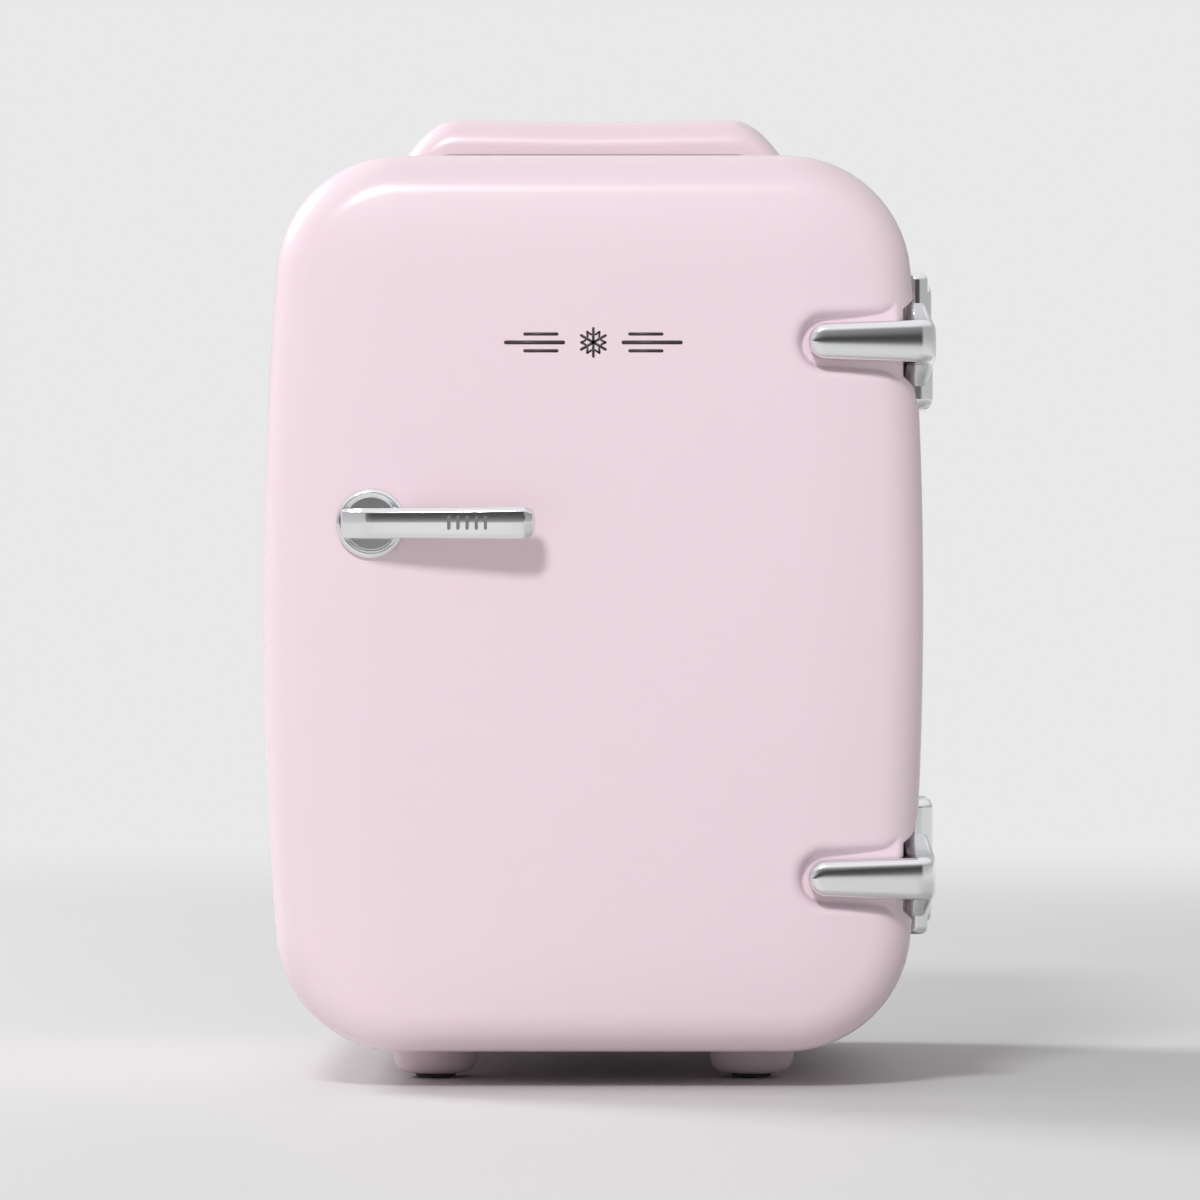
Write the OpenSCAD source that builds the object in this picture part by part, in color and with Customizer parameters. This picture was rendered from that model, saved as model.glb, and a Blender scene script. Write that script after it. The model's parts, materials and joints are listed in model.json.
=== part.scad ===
// Four-litre thermoelectric mini fridge: a rounded cabinet on four feet with a crowned door,
// two strap hinges, a pull lever, a carry handle on top and a cooling unit behind the cavity.
// The origin is on the floor under the middle of the fridge. +X points to the hinge side,
// -Y to the door, +Y to the rear panel and +Z up. All sizes are in millimetres.

/* [Body] */
// Width of the cabinet and the door at mid height
body_w = 190; // [165:1:235]
// Height of the cabinet and the door, without feet and carry handle
body_h = 258; // [235:1:320]
// Depth of the cabinet behind the door
cabinet_d = 196; // [180:1:260]
// Radius of the four corners seen from the front
corner_r = 36; // [30:1:42]
// Radius of the slight bulge of both sides
side_r = 1250; // [900:10:3000]
// Thickness of the outer mouldings
wall = 2.4; // [2:0.1:3]
// Rounding of the cabinet's front edge
rim_r = 4; // [2:0.5:6]
// Rounding of the cabinet's rear edge
rear_r = 22; // [12:1:24]

/* [Door] */
// Thickness of the door moulding
door_t = 41; // [36:1:50]
// Gap between door and cabinet, filled by the gasket
seal_gap = 3; // [2.5:0.1:5]
// Rounding of the door's front edge
door_edge_r = 14; // [8:1:18]
// Radius of the shallow crown inside the front edge
crown_r = 150; // [100:5:300]
// Depth by which the door's inner panel reaches into the cavity
plug_d = 8; // [4:0.5:12]
// Width of the gasket
gasket_w = 11; // [9:0.5:12]

/* [Cavity] */
// Clear width of the cold chamber
cavity_w = 138; // [120:1:142]
// Clear height of the cold chamber
cavity_h = 196; // [170:1:200]
// Clear depth of the cold chamber
cavity_d = 116; // [100:1:124]
// Thickness of the inner mouldings
liner_t = 1.8; // [1.5:0.1:2.5]
// Width of the coloured rim in front, outside the white flange
rim_w = 8; // [6:0.5:10]
// Height of the shelf above the cavity floor
shelf_z = 92; // [60:1:130]
// Thickness of the shelf
shelf_t = 3; // [2:0.1:5]
// Depth of the shelf from front to back
shelf_d = 62; // [40:1:64]

/* [Door basket] */
// Outer width of the basket on the door
basket_w = 116; // [80:1:122]
// Outer depth of the basket
basket_d = 32; // [20:1:36]
// Outer height of the basket
basket_h = 46; // [30:1:60]
// Height of the basket's floor above the cavity floor
basket_z = 30; // [10:1:60]

/* [Hinges] */
// Distance of each hinge barrel from the middle of the door
hinge_dz = 76.7; // [60:0.1:80]
// Distance of the hinge axis inside the door's widest edge
hinge_inset = 1; // [0.5:0.1:2]
// Length of the hinge barrel
barrel_l = 39.5; // [30:0.5:44]
// Radius of the strap's knuckle
knuckle_r = 3.5; // [3:0.1:4]
// Radius of the cabinet leaf's knuckle
leaf_knuckle_r = 5; // [4.5:0.1:5.5]
// Radius of the hinge pin
pin_r = 1.6; // [1.2:0.1:1.8]
// Radial running clearance between pin and strap
pin_clear = 0.05; // [0.02:0.01:0.08]
// Length of the strap on the door's front
strap_l = 35.8; // [28:0.1:44]
// Height of the strap at its free end
strap_h_tip = 10.2; // [8:0.1:12]
// Height of the strap at the hinge
strap_h_root = 12.2; // [10:0.1:14]
// How far the strap stands in front of the door
strap_proud = 5.5; // [2:0.5:8]
// Gap between the strap and the channel around it
channel_gap = 2.3; // [1:0.1:3]

/* [Pull lever] */
// Length of the lever from the rosette's rim to its tip
lever_l = 57; // [40:1:80]
// Height of the lever bar
lever_h = 8.4; // [6:0.1:10]
// How far the lever's tip stands in front of the door
lever_reach = 16; // [12:0.5:22]
// Radius of the round rosette under the lever
rosette_r = 10; // [8:0.5:12]
// Distance of the rosette's centre from the middle of the door
rosette_x = 63.5; // [50:0.5:66]
// Height of the rosette's centre above the middle of the door
rosette_z = 22.9; // [-40:0.1:60]

/* [Carry handle] */
// Length of the handle at its foot
grip_l = 123; // [105:1:130]
// Length of the level stretch on top
grip_top_l = 83; // [70:1:100]
// Height of the handle above the cabinet
grip_h = 18.5; // [14:0.5:22]
// Width of the handle from front to back
grip_w = 30; // [22:1:36]
// Thickness of the bar
grip_t = 13.5; // [9:0.5:15]
// Depth of the hand recess under the handle
recess_d = 16; // [12:0.5:16]

/* [Feet] */
// Height of the feet with their pads
foot_h = 10.5; // [8:0.5:20]
// Radius of a foot
foot_r = 12.8; // [9:0.1:15]
// Distance of each foot from the middle, sideways
foot_x = 46.5; // [30:0.5:50]
// Distance of the foot centres from the cabinet's front and rear
foot_y = 19; // [16:1:40]
// Radius of the rubber pad
pad_r = 6; // [5:0.5:8]

/* [Cooling unit] */
// Height of the cooling unit's centre above the cavity floor
cooler_z = 118; // [100:1:120]
// Side of the square thermoelectric module
module_w = 40; // [30:1:40]
// Width of the heat sink
sink_w = 100; // [90:1:110]
// Height of the heat sink
sink_h = 96; // [84:1:100]
// Side of the square fan
fan_w = 80; // [70:1:84]
// Depth of the fan
fan_d = 15; // [10:1:16]

/* [Rear panel] */
// Width of the rear panel
panel_w = 140; // [128:1:142]
// Height of the rear panel
panel_h = 200; // [180:1:208]
// Thickness of the rear panel
panel_t = 2.4; // [2:0.1:3]

/* [Hidden] */

$fn = 48;
eps = 0.01;

// Clearances shared by everything that meets
foam_gap = 0.3;
screw_gap = 0.15;
move_gap = 0.5;
rest_gap = 0.3;

// Places along Y, from the front of the lever to the trim of the rear inlets
screw_head_h = 1.8;
trim_t = screw_head_h;
total_d = lever_reach + door_t + seal_gap + cabinet_d + trim_t;
y_cab = -total_d / 2 + lever_reach + door_t + seal_gap;
y_door = y_cab - seal_gap;
y_front = y_door - door_t;
y_rear = y_cab + cabinet_d;
y_cavity = y_cab + cavity_d;
foam_back = y_cavity + liner_t + 30;

// Places along Z
z_mid = foot_h + body_h / 2;
z_top = foot_h + body_h;
z_floor = z_mid - 5 - cavity_h / 2;
z_cool = z_floor + cooler_z;
z_shelf = z_floor + shelf_z;
z_basket = z_floor + basket_z;

// Outline of cabinet and door: four corner arcs joined by bulging sides
corner_z = body_h / 2 - corner_r;
corner_x = body_w / 2 - side_r + sqrt(pow(side_r - corner_r, 2) - corner_z * corner_z);
side_a = asin(corner_z / (side_r - corner_r));
corner_steps = 8;
side_steps = 6;

function edge_x(z) = body_w / 2 - side_r + sqrt(side_r * side_r - z * z);
function arc(cx, cy, r, from, to, steps) =
    [for (i = [0:steps]) let (a = from + (to - from) * i / steps) [cx + r * cos(a), cy + r * sin(a)]];
function inner(points) = [for (i = [1:len(points) - 2]) points[i]];
function outline(inset) = concat(
    inner(arc(body_w / 2 - side_r, 0, side_r - inset, -side_a, side_a, side_steps)),
    arc(corner_x, corner_z, corner_r - inset, side_a, 90, corner_steps),
    arc(-corner_x, corner_z, corner_r - inset, 90, 180 - side_a, corner_steps),
    inner(arc(side_r - body_w / 2, 0, side_r - inset, 180 - side_a, 180 + side_a, side_steps)),
    arc(-corner_x, -corner_z, corner_r - inset, 180 + side_a, 270, corner_steps),
    arc(corner_x, -corner_z, corner_r - inset, 270, 360 - side_a, corner_steps)
);
function rounded(w, h, r, steps = 6) = concat(
    arc(w / 2 - r, h / 2 - r, r, 0, 90, steps),
    arc(r - w / 2, h / 2 - r, r, 90, 180, steps),
    arc(r - w / 2, r - h / 2, r, 180, 270, steps),
    arc(w / 2 - r, r - h / 2, r, 270, 360, steps)
);

// Solid through rings of one outline, each ring given as [y, inset], front to back
module skin(rings) {
    n = len(outline(0));
    m = len(rings);
    points = [for (ring = rings) for (p = outline(ring[1])) [p[0], ring[0], z_mid + p[1]]];
    sides = [for (k = [0:m - 2]) for (i = [0:n - 1])
        [k * n + i, k * n + (i + 1) % n, (k + 1) * n + (i + 1) % n, (k + 1) * n + i]];
    front = [[for (i = [0:n - 1]) n - 1 - i]];
    back = [[for (i = [0:n - 1]) (m - 1) * n + i]];
    polyhedron(points, concat(sides, front, back), convexity = 6);
}

// A drawing in the XZ plane, extruded from y0 to y1
module along_y(y0, y1) {
    translate([0, y1, 0])
        rotate([90, 0, 0])
            linear_extrude(y1 - y0)
                children();
}

// A drawing in the YZ plane, extruded from x0 to x1
module along_x(x0, x1) {
    translate([x0, 0, 0])
        rotate([90, 0, 90])
            linear_extrude(x1 - x0)
                children();
}

module box(low, high) {
    translate(low)
        cube(high - low);
}

// A cylinder from y0 to y1
module rod_y(x, z, r, y0, y1) {
    translate([x, y0, z])
        rotate([-90, 0, 0])
            cylinder(r = r, h = y1 - y0);
}

// A cylinder from x0 to x1
module rod_x(y, z, r, x0, x1) {
    translate([x0, y, z])
        rotate([0, 90, 0])
            cylinder(r = r, h = x1 - x0);
}

// A pan-head screw along -Z from the underside of its head at the origin
module screw(shank_r, head_r, length) {
    translate([0, 0, -length])
        cylinder(r = shank_r, h = length + eps);
    difference() {
        cylinder(r = head_r, h = screw_head_h);
        for (turn = [0, 90])
            rotate(turn)
                translate([-head_r * 0.6, -0.3, screw_head_h - 0.8])
                    cube([head_r * 1.2, 0.6, 1]);
    }
}

// Both sides of the middle plane
module each_side() {
    for (side = [0, 1])
        mirror([side, 0, 0])
            children();
}

// --- Hinge places -------------------------------------------------------------------------

hinge_x = body_w / 2 - hinge_inset;
hinge_y = y_cab - 1;
strap_drop = 1.8;
upper_z = z_mid + hinge_dz;
lower_z = z_mid - hinge_dz;
strap_out = 3.4;
strap_bulge = 1.4;
strap_in = 3.6;
strap_foot = 4.4;
strap_x0 = hinge_x + strap_out - strap_l;
strap_back = y_front + strap_foot;
leaf_gap = 0.4;
hinge_zs = [upper_z, lower_z];
leaf_x0 = edge_x(hinge_dz) - 1;
leaf_x1 = hinge_x + 4.9;
leaf_y0 = hinge_y + 8;
leaf_y1 = hinge_y + 31;
leaf_screw_y = [leaf_y0 + 6.5, leaf_y1 - 6.5];
boss_r = 4;
boss_l = 9;

// Front outline of a strap, drawn about its own centre line, optionally grown by gap
module strap_front(gap, reach) {
    tip_r = strap_h_tip / 2 + gap;
    root_half = strap_h_root / 2 + gap;
    polygon(concat(
        [[hinge_x + reach, -root_half], [hinge_x + reach, root_half]],
        arc(strap_x0 + strap_h_tip / 2, 0, tip_r, 90, 270, 10)
    ));
}

// The flare where a channel runs out over the door's side
flare_l = 10;
flare_half = 15.5;
module channel_flare(grow) {
    half = strap_h_root / 2 + channel_gap + grow;
    x0 = edge_x(hinge_dz) - flare_l;
    top = [for (a = [0:15:90]) [x0 + flare_l * sin(a), half + (flare_half - half + grow) * (1 - cos(a))]];
    bottom = [for (i = [len(top) - 1:-1:0]) [top[i][0], -top[i][1]]];
    beyond = hinge_x + 12;
    polygon(concat(top, [[beyond, flare_half + grow], [beyond, -flare_half - grow]], bottom));
}

channel_floor = strap_back + rest_gap;
notch_x = hinge_x - strap_in - 1.6;
module strap_pockets(grow) {
    for (z = hinge_zs) {
        translate([0, 0, z - strap_drop]) {
            along_y(y_front - 20, channel_floor + grow) {
                strap_front(channel_gap + grow, 12);
                channel_flare(grow);
            }
            intersection() {
                along_y(y_front - 20, y_door + 1)
                    channel_flare(grow);
                box([notch_x - grow, y_front - 30, -60], [hinge_x + 20, y_door + 2, 60]);
            }
            box([notch_x - grow, hinge_y - 12 - grow, -flare_half - grow],
                [hinge_x + 20, y_door + 2, flare_half + grow]);
        }
        translate([hinge_x, hinge_y, z - barrel_l / 2 - move_gap - grow])
            cylinder(r = leaf_knuckle_r + 0.7 + grow, h = barrel_l + 2 * move_gap + 2 * grow, $fn = 32);
    }
}

// Plan of a strap: front leg, rounded corner, bulged side leg ending at the hinge axis
strap_corner_r = 5;
module strap_plan() {
    out = hinge_x + strap_out;
    front = y_front - strap_proud;
    polygon(concat(
        [[strap_x0, front]],
        arc(out - strap_corner_r, front + strap_corner_r, strap_corner_r, -90, 0, 6),
        [for (i = [1:7]) [out + strap_bulge * sin(180 * i / 8),
                          front + strap_corner_r + (hinge_y - 4 - front - strap_corner_r) * i / 8]],
        [[hinge_x + 2.8, hinge_y - 2], [hinge_x + 2.8, hinge_y], [hinge_x - strap_in, hinge_y]],
        [[hinge_x - strap_in, strap_back], [strap_x0, strap_back]]
    ));
}

// Side view of a strap's side leg, fanning out to the hinge, about the strap's centre line
fan_half = 14.4;
module strap_fan() {
    half = strap_h_root / 2;
    y0 = strap_back;
    span = hinge_y - y0;
    top = [for (i = [0:6]) let (t = i / 6) [y0 + span * t, half + (fan_half - half) * t * t]];
    bottom = [for (i = [6:-1:0]) [top[i][0], -top[i][1]]];
    polygon(concat([[y_front - strap_proud, half]], top, bottom, [[y_front - strap_proud, -half]]));
}

module strap(z, side) {
    split = z - side * 0.8;
    end = z + side * barrel_l / 2;
    bore_end = end - side * 3;
    color("silver")
        difference() {
            union() {
                difference() {
                    intersection() {
                        translate([0, 0, z - 40])
                            linear_extrude(80)
                                strap_plan();
                        translate([0, 0, z - strap_drop])
                            union() {
                                along_y(y_front - 20, strap_back + 6)
                                    strap_front(0, 12);
                                along_x(hinge_x - 8, hinge_x + 12)
                                    strap_fan();
                            }
                    }
                    translate([hinge_x, hinge_y, min(split + side * leaf_gap, split - side * 30)])
                        cylinder(r = leaf_knuckle_r + 0.6, h = 30 + leaf_gap);
                }
                translate([hinge_x, hinge_y, min(split + side * leaf_gap, end)])
                    cylinder(r = knuckle_r, h = abs(end - split) - leaf_gap);
            }
            translate([hinge_x, hinge_y, min(split - side, bore_end)])
                cylinder(r = pin_r + pin_clear, h = abs(bore_end - split) + 1);
            for (x = strap_screw_x)
                rod_y(x, z - strap_drop, strap_screw_r + screw_gap, y_front - 1, strap_back + 1);
        }
}

strap_screw_r = 1.2;
strap_screw_head_r = 2.4;
strap_screw_x = [strap_x0 + 8, notch_x - wall - strap_screw_head_r - 0.6];

module hinge_strap_upper() { strap(upper_z, 1); }
module hinge_strap_lower() { strap(lower_z, -1); }

module hinge_strap_screws() {
    color("dimgray")
        for (z = hinge_zs)
            for (x = strap_screw_x)
                translate([x, channel_floor + wall, z - strap_drop])
                    rotate([-90, 0, 0])
                        screw(strap_screw_r, strap_screw_head_r, wall + strap_foot);
}

module leaf(z, side) {
    split = z - side * 0.8;
    inner_end = z - side * barrel_l / 2;
    outer_end = z + side * (barrel_l / 2 - 3.3);
    bevel = 1.6;
    color("silver")
        difference() {
            union() {
                translate([0, 0, min(inner_end, outer_end)])
                    linear_extrude(abs(outer_end - inner_end))
                        polygon([[leaf_x0, leaf_y0], [leaf_x1 - bevel, leaf_y0], [leaf_x1, leaf_y0 + bevel],
                                 [leaf_x1, leaf_y1 - bevel], [leaf_x1 - bevel, leaf_y1], [leaf_x0, leaf_y1]]);
                translate([0, 0, min(inner_end, split)]) {
                    linear_extrude(abs(split - inner_end))
                        polygon([[leaf_x0, hinge_y], [hinge_x + neck_out, hinge_y],
                                 [hinge_x + neck_out, leaf_y0 + 1], [leaf_x0, leaf_y0 + 1]]);
                    translate([hinge_x, hinge_y, 0])
                        cylinder(r = leaf_knuckle_r, h = abs(split - inner_end));
                }
            }
            translate([hinge_x, hinge_y, min(inner_end + side * 3, split + side)])
                cylinder(r = pin_r + 0.02, h = abs(split - inner_end) - 2);
            for (y = leaf_screw_y) {
                rod_x(y, z, leaf_screw_r + screw_gap, leaf_x0 - 1, leaf_x1 + 1);
                rod_x(y, z, leaf_head_r + screw_gap, leaf_x1 - screw_head_h - 0.2, leaf_x1 + 1);
            }
        }
}

leaf_screw_r = 1.4;
leaf_head_r = 2.6;
neck_out = 1.4;

module hinge_leaf_upper() { leaf(upper_z, 1); }
module hinge_leaf_lower() { leaf(lower_z, -1); }

module hinge_leaf_screws() {
    seat = leaf_x1 - screw_head_h - 0.2;
    color("dimgray")
        for (z = hinge_zs)
            for (y = leaf_screw_y)
                translate([seat, y, z])
                    rotate([0, 90, 0])
                        screw(leaf_screw_r, leaf_head_r, seat - leaf_x0 + boss_l - 2);
}

module hinge_pins() {
    color("gray")
        for (i = [0, 1])
            translate([hinge_x, hinge_y, hinge_zs[i] - barrel_l / 2 + 3.2])
                cylinder(r = pin_r, h = barrel_l - 6.4);
}

// --- Cabinet ------------------------------------------------------------------------------

recess_l = grip_l - 24;
recess_w = grip_w + 26;
grip_y = (y_cab + y_rear) / 2;
foot_ys = [y_cab + foot_y, y_rear - foot_y - 6];
grip_foot_x = (grip_l + recess_l) / 4;
vent_count = 9;
ledge_w = 6;

// The cabinet's outside, drawn in by inset: rounded rim, sides, rounded rear
module cabinet_solid(inset) {
    r = rear_r - inset;
    front = [for (a = [90:-30:0]) [y_cab + rim_r * (1 - sin(a)), inset + rim_r * (1 - cos(a))]];
    rear = [for (a = [0:15:90]) [y_rear - inset - r * (1 - sin(a)), inset + r * (1 - cos(a))]];
    skin(concat(front, rear));
}

module leaf_pocket(z, grow) {
    box([leaf_x0 - grow, leaf_y0 - 0.3 - grow, z - barrel_l / 2 - 0.3 - grow],
        [body_w, leaf_y1 + 0.3 + grow, z + barrel_l / 2 + 0.3 + grow]);
    box([leaf_x0 - grow, y_cab - 5, z - barrel_l / 2 - 0.3 - grow],
        [body_w, leaf_y0 + 1, z + barrel_l / 2 + 0.3 + grow]);
    translate([hinge_x, hinge_y, z - barrel_l / 2 - move_gap - grow])
        cylinder(r = leaf_knuckle_r + 0.7 + grow, h = barrel_l + 2 * move_gap + 2 * grow, $fn = 32);
}

// Bosses that take the screws of leaves, feet and rear panel
module cabinet_bosses(grow) {
    for (z = hinge_zs)
        for (y = leaf_screw_y)
            rod_x(y, z, boss_r + grow, leaf_x0 - boss_l - grow, leaf_x0);
    for (x = [-foot_x, foot_x])
        for (y = foot_ys)
            translate([x, y, foot_h + wall / 2])
                cylinder(r = boss_r + grow, h = 8 + grow);
    for (x = [-panel_screw_x, panel_screw_x])
        for (z = [z_mid - panel_screw_z, z_mid + panel_screw_z])
            rod_y(x, z, boss_r - 0.5 + grow, y_rear - panel_t - 14 - grow, y_rear - panel_t);
}

// What stays solid inside the shell: pocket walls, bosses, the panel's ledge, the recess's walls
module shell_ribs() {
    for (z = hinge_zs)
        leaf_pocket(z, wall);
    cabinet_bosses(0);
    along_y(y_rear - panel_t - 3, y_rear)
        translate([0, z_mid])
            polygon(rounded(panel_w + 2 * wall, panel_h + 2 * wall, 14));
    box([-recess_l / 2 - wall, grip_y - recess_w / 2 - wall, z_top - recess_d - wall],
        [recess_l / 2 + wall, grip_y + recess_w / 2 + wall, z_top]);
}

module cabinet_shell() {
    color("pink")
        difference() {
            cabinet_solid(0);
            difference() {
                cabinet_solid_inside();
                shell_ribs();
            }
            for (z = hinge_zs)
                leaf_pocket(z, 0);
            box([-recess_l / 2, grip_y - recess_w / 2, z_top - recess_d],
                [recess_l / 2, grip_y + recess_w / 2, z_top + 5]);
            along_y(y_cab - 1, y_cab + wall + 1)
                translate([0, z_mid])
                    polygon(outline(rim_w));
            along_y(y_rear - panel_t, y_rear + 1)
                translate([0, z_mid])
                    polygon(rounded(panel_w + 0.6, panel_h + 0.6, 14));
            along_y(y_rear - 20, y_rear)
                translate([0, z_mid])
                    polygon(rounded(panel_w - 2 * ledge_w, panel_h - 2 * ledge_w, 8));
            shell_screw_holes();
            side_vents();
        }
}

module cabinet_solid_inside() {
    front = [[y_cab + wall, rim_w], [y_cab + wall + rim_r, wall]];
    r = rear_r - wall;
    rear = [for (a = [0:18:90]) [y_rear - wall - r * (1 - sin(a)), wall + r * (1 - cos(a))]];
    skin(concat(front, rear));
}

module shell_screw_holes() {
    for (z = hinge_zs)
        for (y = leaf_screw_y)
            rod_x(y, z, leaf_screw_r + screw_gap, leaf_x0 - boss_l + 1, leaf_x0 + 1, $fn = 16);
    for (x = [-foot_x, foot_x])
        for (y = foot_ys)
            translate([x, y, foot_h - 1])
                cylinder(r = foot_screw_r + screw_gap, h = 9.5, $fn = 16);
    for (x = [-panel_screw_x, panel_screw_x])
        for (z = [z_mid - panel_screw_z, z_mid + panel_screw_z])
            rod_y(x, z, panel_screw_r + screw_gap, y_rear - panel_t - 12, y_rear, $fn = 16);
    for (x = [-grip_foot_x, grip_foot_x])
        translate([x, grip_y, z_top - wall]) {
            translate([0, 0, -1])
                cylinder(r = grip_screw_r + screw_gap, h = wall + 3, $fn = 16);
            translate([0, 0, -4])
                cylinder(r = grip_head_r + rest_gap, h = 4, $fn = 24);
        }
}

// Louvres through both sides beside the heat sink
vent_pitch = 9;
module side_vents() {
    for (i = [0:vent_count - 1])
        translate([0, 0, z_cool + (i - (vent_count - 1) / 2) * vent_pitch])
            box([-body_w, y_rear - rear_r - 26, -1.6], [body_w, y_rear - rear_r - 4, 1.6]);
}

module cabinet_liner() {
    cz = z_floor + cavity_h / 2;
    color("white")
        difference() {
            union() {
                along_y(y_cab, y_cab + liner_t)
                    translate([0, z_mid])
                        polygon(outline(rim_w + foam_gap));
                along_y(y_cab, y_cavity + liner_t)
                    translate([0, cz])
                        polygon(rounded(cavity_w + 2 * liner_t, cavity_h + 2 * liner_t, cavity_r + liner_t));
            }
            difference() {
                along_y(y_cab - 1, y_cavity)
                    translate([0, cz])
                        polygon(rounded(cavity_w, cavity_h, cavity_r));
                for (side = [-1, 1])
                    box([side * cavity_w / 2 - rib_w, y_cab + 16, z_shelf - rest_gap - rib_h],
                        [side * cavity_w / 2 + rib_w, y_cavity - 1, z_shelf - rest_gap]);
            }
            box([-block_w / 2 - 0.5, y_cavity - 1, z_cool - module_w / 2 - 0.5],
                [block_w / 2 + 0.5, y_cavity + liner_t + 1, z_cool + module_w / 2 + 0.5]);
        }
}
cavity_r = 12;
rib_w = 3;
rib_h = 2.4;
block_w = module_w + 24;

module cabinet_foam() {
    cz = z_floor + cavity_h / 2;
    g = foam_gap;
    color("ivory")
        difference() {
            along_y(y_cab + liner_t + strike_t + g, foam_back)
                translate([0, z_mid])
                    polygon(outline(rim_w + wall));
            along_y(y_cab, y_cavity + liner_t + g)
                translate([0, cz])
                    polygon(rounded(cavity_w + 2 * (liner_t + g), cavity_h + 2 * (liner_t + g),
                                    cavity_r + liner_t + g));
            box([-block_w / 2 - g, y_cavity, z_cool - module_w / 2 - g],
                [block_w / 2 + g, foam_back + 1, z_cool + module_w / 2 + g]);
            box([-recess_l / 2 - wall - g, grip_y - recess_w / 2 - wall - g, z_top - recess_d - wall - g],
                [recess_l / 2 + wall + g, grip_y + recess_w / 2 + wall + g, z_top]);
            for (z = hinge_zs)
                for (y = leaf_screw_y)
                    rod_x(y, z, boss_r + g, leaf_x0 - boss_l - g - 1, leaf_x0);
            for (x = [-foot_x, foot_x])
                for (y = foot_ys)
                    translate([x, y, foot_h])
                        cylinder(r = boss_r + g, h = wall / 2 + 8 + 2 * g);
        }
}

// Steel strips behind the flange, which the door's magnets pull on
strike_t = 1.2;
module frame_bars(inset, width, y0, y1, short = 0) {
    cz = z_floor + cavity_h / 2;
    half_w = cavity_w / 2 + inset;
    half_h = cavity_h / 2 + inset;
    straight = cavity_r + 2 + short;
    each_side()
        box([half_w, y0, cz - half_h + straight], [half_w + width, y1, cz + half_h - straight]);
    for (z = [cz + half_h, cz - half_h - width])
        box([-half_w + straight, y0, z], [half_w - straight, y1, z + width]);
}

module strike_plates() {
    color("gray")
        frame_bars(liner_t + 2, 6, y_cab + liner_t, y_cab + liner_t + strike_t);
}

// --- Carry handle -------------------------------------------------------------------------

// Side view of the handle: a level top that sinks slightly in the middle, with round shoulders
grip_dip = 0.7;
module grip_front(inset) {
    top = grip_h - inset;
    half = grip_l / 2 - inset;
    shoulder = (grip_l - grip_top_l) / 2;
    right = [for (i = [0:6]) let (u = 1 - i / 6) [half - shoulder + shoulder * u, top * (1 - u * u)]];
    dip = [for (x = [0.6, 0.3, 0, -0.3, -0.6])
        [x * grip_top_l / 2, top - grip_dip * (1 + cos(x * 300)) / 2]];
    left = [for (i = [6:-1:0]) [-right[i][0], right[i][1]]];
    polygon(concat(right, dip, left));
}

module grip_section(inset) {
    polygon(concat(
        [[-grip_w / 2 + inset, -5]],
        [[grip_w / 2 - inset, -5]],
        arc(grip_w / 2 - grip_edge_r, grip_h - grip_edge_r, grip_edge_r - inset, 0, 90, 4),
        arc(grip_edge_r - grip_w / 2, grip_h - grip_edge_r, grip_edge_r - inset, 90, 180, 4)
    ));
}
grip_edge_r = 7;
grip_wall = 2.2;
grip_screw_r = 1.5;
grip_head_r = 3;

module handle_grip() {
    under = grip_h - grip_t;
    inner_l = recess_l - 2;
    color("pink")
        difference() {
            intersection() {
                along_y(grip_y - grip_w / 2, grip_y + grip_w / 2)
                    translate([0, z_top])
                        grip_front(0);
                along_x(-grip_l, grip_l)
                    translate([grip_y, z_top])
                        grip_section(0);
            }
            box([-inner_l / 2, grip_y - grip_w, z_top - 1], [inner_l / 2, grip_y + grip_w, z_top + under]);
            box([-inner_l / 2 + 4, grip_y - grip_w / 2 + grip_wall, z_top + under - 1],
                [inner_l / 2 - 4, grip_y + grip_w / 2 - grip_wall, z_top + grip_h - grip_wall - grip_dip]);
            for (x = [-grip_foot_x, grip_foot_x])
                translate([x, grip_y, z_top - 1])
                    cylinder(r = grip_screw_r + screw_gap, h = 8);
        }
}

module handle_underside() {
    under = grip_h - grip_t;
    inner_l = recess_l - 2;
    g = 0.2;
    color("lightpink")
        box([-inner_l / 2 + 4 + g, grip_y - grip_w / 2 + grip_wall + g, z_top + under],
            [inner_l / 2 - 4 - g, grip_y + grip_w / 2 - grip_wall - g, z_top + under + 2]);
}

module handle_screws() {
    color("dimgray")
        for (x = [-grip_foot_x, grip_foot_x])
            translate([x, grip_y, z_top - wall])
                rotate([180, 0, 0])
                    screw(grip_screw_r, grip_head_r, wall + 6.5);
}

// --- Feet ---------------------------------------------------------------------------------

pad_t = 1.4;
foot_screw_r = 1.5;
foot_head_r = 3.2;
module each_foot() {
    for (x = [-foot_x, foot_x])
        for (y = foot_ys)
            translate([x, y, 0])
                children();
}

module feet() {
    color("pink")
        each_foot()
            difference() {
                rotate_extrude()
                    polygon(concat(
                        [[0, foot_h], [0, pad_t], [foot_r - 4.5, pad_t]],
                        arc(foot_r - 4, pad_t + 3.5, 3.5, -75, -10, 4),
                        [[foot_r, foot_h]]
                    ));
                translate([0, 0, -1])
                    cylinder(r = pad_r + 0.1, h = pad_t + 2);
                translate([0, 0, -1])
                    cylinder(r = foot_head_r + screw_gap, h = pad_t + 2 + screw_head_h + 1);
                cylinder(r = foot_screw_r + screw_gap, h = foot_h + 1);
            }
}

module foot_pads() {
    color("dimgray")
        each_foot()
            cylinder(r = pad_r, h = pad_t + 0.9);
}

module foot_screws() {
    seat = pad_t + 2 + screw_head_h;
    color("dimgray")
        each_foot()
            translate([0, 0, seat])
                rotate([180, 0, 0])
                    screw(foot_screw_r, foot_head_r, foot_h - seat + 7.5);
}

// --- Cooling unit -------------------------------------------------------------------------

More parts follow.
